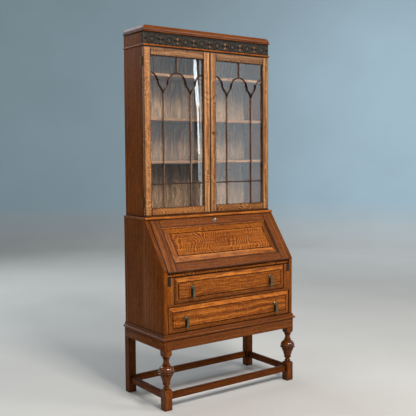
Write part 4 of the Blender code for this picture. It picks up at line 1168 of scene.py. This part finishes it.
def build_handle(level, hand):
    """A round plate with a dark tail, which also stands as a painted shadow of the drop, and a neck, and a
    long drop that swings on its pin.
    """
    node = "handle_plate_{}_{}".format(level, hand)
    joint = JOINTS["handle_{}_{}_swing".format(level, hand)]
    axis = Vector(joint["pos_m"])
    low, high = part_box(node)
    radius = (high.x - low.x) / 2
    profile = [(0.0, 0.0060), (0.0020, 0.0058), (0.0042, 0.0046), (0.0055, 0.0030), (0.0063, 0.0022),
               (0.0074, 0.0026), (0.0086, 0.0026), (0.0096, 0.0018), (radius, 0.0006), (radius, 0.0),
               (0.0, 0.0)]
    piece = Piece(node + "_turned")
    seat = (axis.x, high.y, axis.z)
    piece.add(turning(profile, 32), BRASS, place=standing(seat, -Y))
    # The tail: a black plate behind the drop, and a painted shadow of it.
    tail = arc((axis.x, axis.z - TAIL_REACH), TAIL_HALF_WIDTH, 180, 360, 12)
    tail = [(axis.x - TAIL_HALF_WIDTH, axis.z), *tail, (axis.x + TAIL_HALF_WIDTH, axis.z)]
    piece.add(cutout(tail, "Y", (high.y - TAIL_THICKNESS, high.y), 0.0004), BLACK_BRASS)
    length = high.y - axis.y
    neck = [(0.0, length + 0.0024), (0.0010, length + 0.0022), (0.0014, length + 0.0010), (0.0015, 0.006),
            (0.0024, 0.0045), (0.0, 0.004)]
    piece.add(turning(neck, 16), BRASS, place=standing(seat, -Y))
    piece.fit(node)

    node = "handle_drop_{}_{}".format(level, hand)
    low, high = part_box(node)
    top = high.z
    length = high.z - low.z
    rings = [[Vector((axis.x + a, axis.y + b, top - t * length)) for a, b in oval(wide, deep, 20)]
             for t, wide, deep in DROP]
    piece = Piece(node + "_cast")
    piece.add(bridged(rings), BRASS)
    pin = [(0.0, -0.0052), (0.0012, -0.0050), (0.0014, -0.0044), (0.0014, 0.0044), (0.0012, 0.0050),
           (0.0, 0.0052)]
    piece.add(turning(pin, 14), BRASS, place=standing(axis, X))
    piece.fit(node)


# The bookcase.

LOCK_HEIGHT = 1.465
# How light each board of a door is: its left and right stiles, and then its bottom and top rails. This is
# painted light and shade: a painted sheen on the left door's stiles, darker stiles on the right door, and
# painted shade on the top rails under the frieze.
STILE_SHADES = {"left": (1.14, 1.12), "right": (0.84, 0.88)}
RAIL_SHADES = {"left": (0.98, 0.60), "right": (0.72, 0.52)}


def build_case():
    """The bookcase's sides, bottom and top, and its shelves, each with a lip and a cleat at each end."""
    for _, hand in HANDS:
        plank("bookcase_side_" + hand, Z, ease=0.0012)
    low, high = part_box("bookcase_bottom")
    shelf_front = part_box("bookcase_side_left")[0].y
    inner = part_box("bookcase_side_right")[0].x - CLEARANCE
    strip_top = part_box("door_left_frame")[0].z - CLEARANCE
    piece = Piece("bookcase_bottom_joined")
    piece.add(block(low, (high.x, shelf_front - CLEARANCE, strip_top), 0.0008), FRAME_OAK, X)
    piece.add(block((-inner, shelf_front, low.z), (inner, high.y, high.z)), BODY_OAK, X)
    piece.fit("bookcase_bottom")
    plank("bookcase_top", X)
    for level in ("upper", "middle", "lower"):
        node = "shelf_" + level
        low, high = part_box(node)
        piece = Piece(node + "_board")
        lip = 0.012
        piece.add(block(low, (high.x, low.y + lip - JOINT, high.z), 0.0022, 3), DOOR_OAK, X)
        piece.add(block((low.x, low.y + lip, low.z), high, 0.0004, 1), BODY_OAK, X)
        piece.fit(node)
        cleats = Piece(node + "_cleats")
        for side in (-1, 1):
            x0, x1 = sorted((side * (high.x + 0.0002), side * (high.x - 0.010)))
            cleats.add(block((x0, low.y + 0.020, low.z - 0.0142), (x1, high.y - 0.004, low.z - 0.0002)),
                       BODY_OAK, Y)
        cleats.fit_extra("carcass")


def carving(u, v, half, tall):
    """The frieze's relief, 0 to 1, at u along it and v above its middle: roundels between paired berries."""
    bays = 8
    bay = 2 * half / bays
    nearest = (math.floor(u / bay) + 0.5) * bay
    du = u - nearest
    reach = math.hypot(du, v)
    ring_radius = tall * 0.31
    height = bump_at(reach - ring_radius, tall * 0.060) * 0.62
    petals = 6
    angle = math.atan2(v, du)
    petal = 0.5 + 0.5 * math.cos(petals * angle)
    bloom = ring_radius * (0.40 + 0.38 * petal)
    if reach < bloom:
        height = max(height, 0.34 + 0.30 * math.sin(math.pi * min(1.0, reach / bloom)))
    height = max(height, bump_at(reach, tall * 0.085) * 0.92)
    stem = abs(du) - bay * 0.33
    post = bay / 2 - abs(du)
    for sign in (-1, 1):
        rise = v - sign * tall * 0.23
        leaf = math.hypot(stem / (bay * 0.105), rise / (tall * 0.19))
        if leaf < 1:
            vein = 0.10 * math.cos(rise / tall * 60)
            height = max(height, (0.55 + vein) * math.sqrt(1 - leaf * leaf))
        berry = math.hypot(post, v - sign * tall * 0.155)
        height = max(height, bump_at(berry, tall * 0.145))
    height = max(height, bump_at(post, tall * 0.035) * 0.45 if abs(v) < tall * 0.38 else 0.0)
    if tall / 2 - abs(v) < tall * 0.085:
        height = max(height, 0.48)
    if half - abs(u) < tall * 0.10:
        height = max(height, 0.55)
    return height


def bump_at(distance, radius):
    """A round bump's height at a distance from its middle or centreline."""
    t = distance / radius
    return math.sqrt(1 - t * t) if abs(t) < 1 else 0.0


def rim_of(grid):
    """The outer vertices of a grid of rows, in order round it."""
    return (grid[0] + [line[-1] for line in grid[1:-1]] + grid[-1][::-1]
            + [line[0] for line in grid[-2:0:-1]])


def build_frieze():
    """A carved board: the relief is cut into a fine grid on its front."""
    low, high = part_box("frieze")
    half = (high.x - low.x) / 2
    tall = high.z - low.z
    deep = 0.0050
    step = 0.0014
    columns = int(2 * half / step)
    rows = int(tall / step)
    part = bmesh.new()
    grid = []
    heights = []
    for j in range(rows + 1):
        v = -tall / 2 + tall * j / rows
        line = []
        for i in range(columns + 1):
            u = -half + 2 * half * i / columns
            edge = min(half - abs(u), tall / 2 - abs(v))
            tooling = 0.05 * noise.noise(Vector((u * 260, v * 260, 3.1)))
            height = 1.0 if edge < 0.0001 else carving(u, v, half, tall) + tooling
            y = low.y + deep * (1.0 - min(1.0, height)) if edge >= 0.0001 else low.y + deep * 0.5
            vert = part.verts.new((u, y, (low.z + high.z) / 2 + v))
            line.append(vert)
            heights.append(height if edge >= 0.0001 else 0.5)
        grid.append(line)
    worn = []
    for j in range(rows):
        for i in range(columns):
            face = part.faces.new((grid[j][i], grid[j][i + 1], grid[j + 1][i + 1], grid[j + 1][i]))
            face.smooth = True
            corner = j * (columns + 1) + i
            worn.append(max(0.0, (heights[corner] + heights[corner + 1]) / 2))
    rim = rim_of(grid)
    back = [part.verts.new((vert.co.x, high.y, vert.co.z)) for vert in rim]
    for i in range(len(rim)):
        j = (i + 1) % len(rim)
        part.faces.new((rim[j], rim[i], back[i], back[j]))
        worn.append(0.4)
    part.faces.new(reversed(back))
    worn.append(0.2)
    part.faces.index_update()
    piece = Piece("frieze_carved")
    piece.add(part, CARVED_OAK, X, worn=worn)
    return piece.fit("frieze")


def build_bead_and_cornice():
    """The half-round bead below the frieze, and the cornice: a thin lip, a fillet and a quarter round."""
    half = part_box("bookcase_side_right")[1].x
    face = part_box("door_left_frame")[0].y
    low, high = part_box("frieze_bead")
    tall = high.z - low.z
    reach = high.x - half
    round_part = arc((reach - tall / 2 + 0.0002, tall / 2), tall / 2, -90, 90, 10)
    bead = [(CLEARANCE, 0.0)] + round_part + [(CLEARANCE, tall)]
    piece = Piece("frieze_bead_moulding")
    round_three_sides(piece, bead, half, face, high.y, low.z, FRONT_OAK)
    piece.fit("frieze_bead")

    low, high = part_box("cornice")
    tall = high.z - low.z
    reach = high.x - half
    wall = 0.030
    lip = 0.0033
    set_back = 0.018
    foot = 0.0112
    section = [(-wall, 0.0), (reach - 0.0025, 0.0), (reach - lip, 0.0012)]
    section += arc((reach - lip, 0.0012 + lip), lip, -60, 90, 8)
    section += [(0.0008, 0.0082), (0.0008, 0.0098)]
    section += [(-set_back + (set_back + 0.0022) * math.cos(t), foot + (tall - foot) * math.sin(t))
                for t in quarter_turn(14)]
    section += [(-wall, tall)]
    piece = Piece("cornice_moulding")
    round_three_sides(piece, section, half, face, high.y, low.z, CORNICE_OAK)
    piece.fit("cornice")


def bar_along(points, section, extend=0.0):
    """A tracery bar: a section of (across, y) points carried along a path of (x, z) points."""
    path = [Vector(point) for point in points]
    path[0] += (path[0] - path[1]).normalized() * extend
    path[-1] += (path[-1] - path[-2]).normalized() * extend
    rings = []
    for i, point in enumerate(path):
        before = path[max(i - 1, 0)]
        after = path[min(i + 1, len(path) - 1)]
        tangent = (after - before).normalized()
        normal = Vector((-tangent.y, tangent.x))
        rings.append([Vector((point.x + normal.x * a, y, point.y + normal.y * a)) for a, y in section])
    return bridged(rings)


def build_door(side, hand):
    """Stiles, rails and trefoil tracery, with the glass behind."""
    node = "door_{}_frame".format(hand)
    low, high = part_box(node)
    glass_low, glass_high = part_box("door_{}_glass".format(hand))
    left = glass_low.x - CLEARANCE
    right = glass_high.x + CLEARANCE
    bottom = glass_low.z - CLEARANCE
    top = glass_high.z + CLEARANCE
    piece = Piece(node + "_joined")
    gap = 0.0007
    stiles = ((low.x + gap, left - JOINT), (right + JOINT, high.x - gap))
    for (x0, x1), shade in zip(stiles, STILE_SHADES[hand]):
        piece.add(block((x0, low.y, low.z + gap), (x1, high.y, high.z - gap), WORN_EDGE, 3), DOOR_OAK, Z,
                  cut="quarter", soil=0.9, spread=0.0, shade=shade)
    rails = ((low.z + gap, bottom), (top, high.z - gap))
    for (z0, z1), shade, finish in zip(rails, RAIL_SHADES[hand], (RAIL_OAK, DOOR_OAK)):
        piece.add(block((left, low.y + 0.0001, z0), (right, high.y, z1), WORN_EDGE, 3), finish, X,
                  cut="quarter", soil=0.9, spread=0.0, shade=shade)
    piece.fit(node)
    build_tracery(hand, (left, right), (bottom, top))

    if side > 0:
        build_escutcheon(low, left)

    pane = Piece("door_{}_pane".format(hand))
    pane.add(rippled_pane(glass_low, glass_high), GLASS)
    pane.fit("door_{}_glass".format(hand))
    for level in ("upper", "lower"):
        build_door_hinge(side, hand, level)


def build_escutcheon(low, stile_edge):
    """The keyhole plate of the door lock, in the middle of the right door's meeting stile."""
    wide = 0.0078
    tall = 0.0090
    rings = [[Vector((a, b, height)) for a, b in oval(wide * shrink, tall * shrink, 28)]
             for height, shrink in ((0.0, 1.0), (0.0009, 1.0), (0.0014, 0.88), (0.0010, 0.62),
                                    (0.0003, 0.55))]
    piece = Piece("door_right_escutcheon")
    centre = Vector(((low.x + stile_edge) / 2, low.y, LOCK_HEIGHT))
    place = Matrix.Translation(centre) @ Matrix.Rotation(math.pi / 2, 4, "X")
    piece.add(bridged(rings), BLACK_BRASS, place=place)
    made = piece.fit_extra("door_right")
    for half, foot, head in ((0.0011, -0.0044, 0.0036), (0.0019, 0.0008, 0.0044)):
        recess(made, (-half, foot, -0.001), (half, head, 0.002), place)


def build_tracery(hand, opening_x, opening_z):
    """Upright bars, a transom, and cusped arches with a king bar over the middle one."""
    pitch = 0.090
    lobe = 0.030
    lobe_tall = 0.047
    crown = pitch - lobe
    crown_tall = 0.066
    peak = 1.7875
    spring = peak - crown_tall
    valley = spring - lobe_tall
    transom = 1.183
    half = 0.0034
    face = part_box("door_{}_frame".format(hand))[0].y + 0.003
    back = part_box("door_{}_glass".format(hand))[0].y - CLEARANCE
    step = 0.0009
    section = [(-half, back), (-half, face + 0.0048), (-half + step, face + 0.0040)]
    section += arc((0.0, face + 0.0034), half - step, 180, 360, 8)
    section += [(half - step, face + 0.0040), (half, face + 0.0048), (half, back)]
    centre = sum(opening_x) / 2
    lap = 0.0015
    piece = Piece("door_{}_tracery".format(hand))
    for x in (centre - pitch, centre + pitch):
        piece.add(bar_along([(x, opening_z[0] - lap), (x, transom)], section), BAR_OAK, Z)
        piece.add(bar_along([(x, transom), (x, valley)], section, 0.002), BAR_OAK, Z)
    piece.add(bar_along([(opening_x[0] - lap, transom), (opening_x[1] + lap, transom)], section),
              TRACERY_OAK, X)
    piece.add(bar_along([(centre, peak), (centre, opening_z[1] + lap)], section, 0.002), BAR_OAK, Z)
    limit = (opening_x[1] - opening_x[0]) / 2 + lap
    for offset in (-2 * pitch, 0.0, 2 * pitch):
        for turn in (-1, 1):
            foot = offset + turn * pitch
            if abs(foot) > limit:
                continue
            middle = centre + offset
            bow = [(middle + turn * (crown + lobe * (1 - t ** 1.7)), valley + lobe_tall * t)
                   for t in (i / 12 for i in range(13))]
            piece.add(bar_along(bow, section, 0.001), TRACERY_OAK, Z)
            stop = math.pi / 2
            if abs(offset) > pitch:
                stop = math.acos(max(-1.0, (abs(offset) - limit) / crown))
            head = [(middle + turn * crown * math.cos(t), spring + crown_tall * math.sin(t))
                    for t in (stop * i / 16 for i in range(17))]
            piece.add(bar_along(head, section, 0.001), TRACERY_OAK, Z)
    piece.fit_extra("door_" + hand)


def rippled_pane(low, high):
    """A sheet of glass whose two faces wander together, by up to a fiftieth of a millimetre."""
    step = 0.030
    wander = 0.00002
    columns = int((high.x - low.x) / step)
    rows = int((high.z - low.z) / step)
    part = bmesh.new()
    sheets = []
    for y in (low.y, high.y):
        sheet = []
        for j in range(rows + 1):
            line = []
            for i in range(columns + 1):
                x = low.x + (high.x - low.x) * i / columns
                z = low.z + (high.z - low.z) * j / rows
                line.append(part.verts.new((x, y + wander * noise.noise(Vector((x * 9, 0.7, z * 5))), z)))
            sheet.append(line)
        sheets.append(sheet)
    front, back = sheets
    for j in range(rows):
        for i in range(columns):
            part.faces.new((front[j][i], front[j][i + 1], front[j + 1][i + 1], front[j + 1][i])).smooth = True
            part.faces.new((back[j][i], back[j + 1][i], back[j + 1][i + 1], back[j][i + 1])).smooth = True
    front_rim, back_rim = rim_of(front), rim_of(back)
    for i in range(len(front_rim)):
        j = (i + 1) % len(front_rim)
        part.faces.new((front_rim[j], front_rim[i], back_rim[i], back_rim[j]))
    return part


def build_door_hinge(side, hand, level):
    """A butt hinge: leaf and three knuckles on the door, leaf and two knuckles on the case."""
    node = "door_hinge_{}_{}".format(level, hand)
    low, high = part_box(node)
    axis = Vector(JOINTS["door_{}_hinge".format(hand)]["pos_m"])
    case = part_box("bookcase_side_" + hand)
    face = case[0].x if side < 0 else case[1].x
    thin = 0.0011
    x0, x1 = sorted((face + side * CLEARANCE, face + side * (CLEARANCE + thin)))
    reach = axis.y - low.y
    gap = 0.0008
    moving = Piece(node + "_leaf")
    moving.add(block((x0, low.y, low.z), (x1, axis.y - gap, high.z), LEAF_EASE, 1), DARK_BRASS)
    fixed = Piece(node + "_case_leaf")
    fixed.add(block((x0, axis.y + gap, low.z), (x1, axis.y + reach, high.z), LEAF_EASE, 1), DARK_BRASS)
    radius = 0.0029
    tall = (high.z - low.z) / KNUCKLES
    for i in range(KNUCKLES):
        place = standing((axis.x, axis.y, low.z + i * tall))
        barrel = knuckle(radius, tall, radius * 0.88, 0.0005, 20)
        (fixed if i % 2 else moving).add(barrel, DARK_BRASS, place=place)
    outer = x0 if side < 0 else x1
    for t in SCREW_PLACES:
        z = low.z + t * (high.z - low.z)
        y = 0.5 if t == 0.5 else 0.65
        add_screw(moving, (outer, axis.y - y * reach, z), X * side)
        add_screw(fixed, (outer, axis.y + y * reach, z), X * side)
    moving.fit(node)
    fixed.fit_extra("carcass")


# The studio.

def build_stage():
    """A round sweep: a flat floor that curves up into a wall all round, beyond every camera."""
    floor_radius = 6.5
    curve = 2.0
    wall = 5.0
    drop = 0.0002
    profile = [(2.0, 0.0), (4.5, 0.0)]
    profile += [(floor_radius + curve * math.sin(t), curve * (1 - math.cos(t)))
                for t in quarter_turn(16)]
    profile += [(floor_radius + curve, wall)]
    segments = 96
    mesh = bpy.data.meshes.new("studio_sweep")
    shape = bmesh.new()
    middle = shape.verts.new((0.0, 0.0, -drop))
    rows = [[shape.verts.new((x, y, height - drop)) for x, y in oval(radius, radius, segments)]
            for radius, height in profile]
    for i in range(segments):
        j = (i + 1) % segments
        shape.faces.new((middle, rows[0][i], rows[0][j])).smooth = True
        for first, second in zip(rows, rows[1:]):
            shape.faces.new((first[i], second[i], second[j], first[j])).smooth = True
    shape.to_mesh(mesh)
    shape.free()
    mesh.materials.append(STAGE)
    placed("studio_sweep", mesh)


def add_softbox(name, location, target, size, power, colour, lean=0.0):
    """A rectangular area lamp that the camera doesn't see, aimed at a target and leaning by some degrees."""
    lamp = bpy.data.lights.new(name, "AREA")
    lamp.shape = "RECTANGLE"
    lamp.size, lamp.size_y = size
    lamp.energy = power
    lamp.color = colour
    made = placed(name, lamp)
    made.location = location
    aim = (Vector(target) - Vector(location)).to_track_quat("-Z", "Y")
    made.rotation_euler = (aim @ Quaternion(Z, math.radians(lean))).to_euler()
    made.visible_camera = False


# Dim panels for the closed doors' glass to mirror, in one upright plane in front of the desk:
# (name, x, z, width, height, power, lean in degrees).
PANEL_Y = -3.26
MIRRORED_PANELS = [
    ("left_pane_panel", 1.860, 1.84, 0.620, 1.18, 2.4, 0.0),
    ("left_pane_lower", 1.860, 1.01, 0.620, 0.48, 0.10, 0.0),
    ("streak_head", 2.203, 2.170, 0.046, 0.54, 0.85, 4.5),
    ("streak_top", 2.228, 1.640, 0.024, 0.56, 0.42, 1.5),
    ("streak_middle", 2.235, 1.210, 0.018, 0.30, 0.07, 0.0),
    ("streak_edge", 2.292, 1.60, 0.086, 1.66, 1.4, 0.0),
    ("right_pane_panel", 2.820, 1.60, 0.980, 1.66, 10.0, 0.0),
]


def light_studio():
    """A high key lamp in front, weaker lamps round the desk, a wash on the wall and the mirrored panels."""
    middle = Vector((0.0, 0.0, 1.0))
    warm = (1.0, 0.96, 0.90)
    cool = (0.86, 0.94, 1.0)
    add_softbox("key", (-0.2, -3.6, 4.3), middle, (1.2, 1.2), 215.0, warm)
    add_softbox("front_fill", (2.6, -3.4, 3.6), middle, (1.3, 1.0), 80.0, warm)
    add_softbox("left_lamp", (-4.0, 0.3, 3.6), middle, (0.50, 0.50), 24.0, warm)
    add_softbox("wall_wash", (4.4, 2.6, 3.2), (7.4, 4.0, 1.4), (1.0, 1.0), 60.0, cool)
    add_softbox("rear_fill", (-0.6, 4.6, 3.6), middle, (3.0, 2.0), 130.0, cool)
    for name, x, z, width, height, power, lean in MIRRORED_PANELS:
        place = Vector((x, PANEL_Y, z))
        add_softbox(name, place, place + Y, (width, height), power, cool, lean)
    world = bpy.data.worlds.new("studio_air")
    world.use_nodes = True
    world.node_tree.nodes["Background"].inputs["Color"].default_value = (0.90, 0.95, 1.0, 1.0)
    world.node_tree.nodes["Background"].inputs["Strength"].default_value = 0.25
    bpy.context.scene.world = world
    bpy.context.scene.view_settings.view_transform = "Standard"


# The view: where the camera stands, its yaw, pitch and roll in degrees, and its lens in millimetres.
CAMERA_PLACE = (-2.377, -3.261, 1.332)
CAMERA_ANGLES = (35.84, -4.18, -0.35)
FOCAL_LENGTH = 61.15


def add_camera():
    """The camera stands to the front left at chest height, turned right and a little down."""
    yaw, pitch, roll = (math.radians(angle) for angle in CAMERA_ANGLES)
    forward = Vector((math.sin(yaw) * math.cos(pitch), math.cos(yaw) * math.cos(pitch), math.sin(pitch)))
    level_right = Vector((math.cos(yaw), -math.sin(yaw), 0.0))
    level_up = level_right.cross(forward)
    right = level_right * math.cos(roll) + level_up * math.sin(roll)
    up = level_up * math.cos(roll) - level_right * math.sin(roll)
    lens = bpy.data.cameras.new("camera")
    lens.sensor_width = 36.0
    lens.lens = FOCAL_LENGTH
    camera = placed("camera", lens)
    axes = Matrix((right, up, -forward)).transposed().to_4x4()
    camera.matrix_world = Matrix.Translation(CAMERA_PLACE) @ axes
    bpy.context.scene.camera = camera


build_stand()
build_base_board()
for side, hand in HANDS:
    build_bureau_side(hand)
    build_loper(side, hand)
build_bureau_top()
planked("bureau_back", 6, "X", PALE_OAK)
build_writing_bed()
plank("drawer_divider", X, FRONT_OAK)
build_pigeonholes()
build_fall()
build_drawer("lower")
build_drawer("upper")
build_case()
planked("bookcase_back", 6, "X", BACK_OAK)
build_frieze()
build_bead_and_cornice()
for side, hand in HANDS:
    build_door(side, hand)
build_stage()
light_studio()
add_camera()
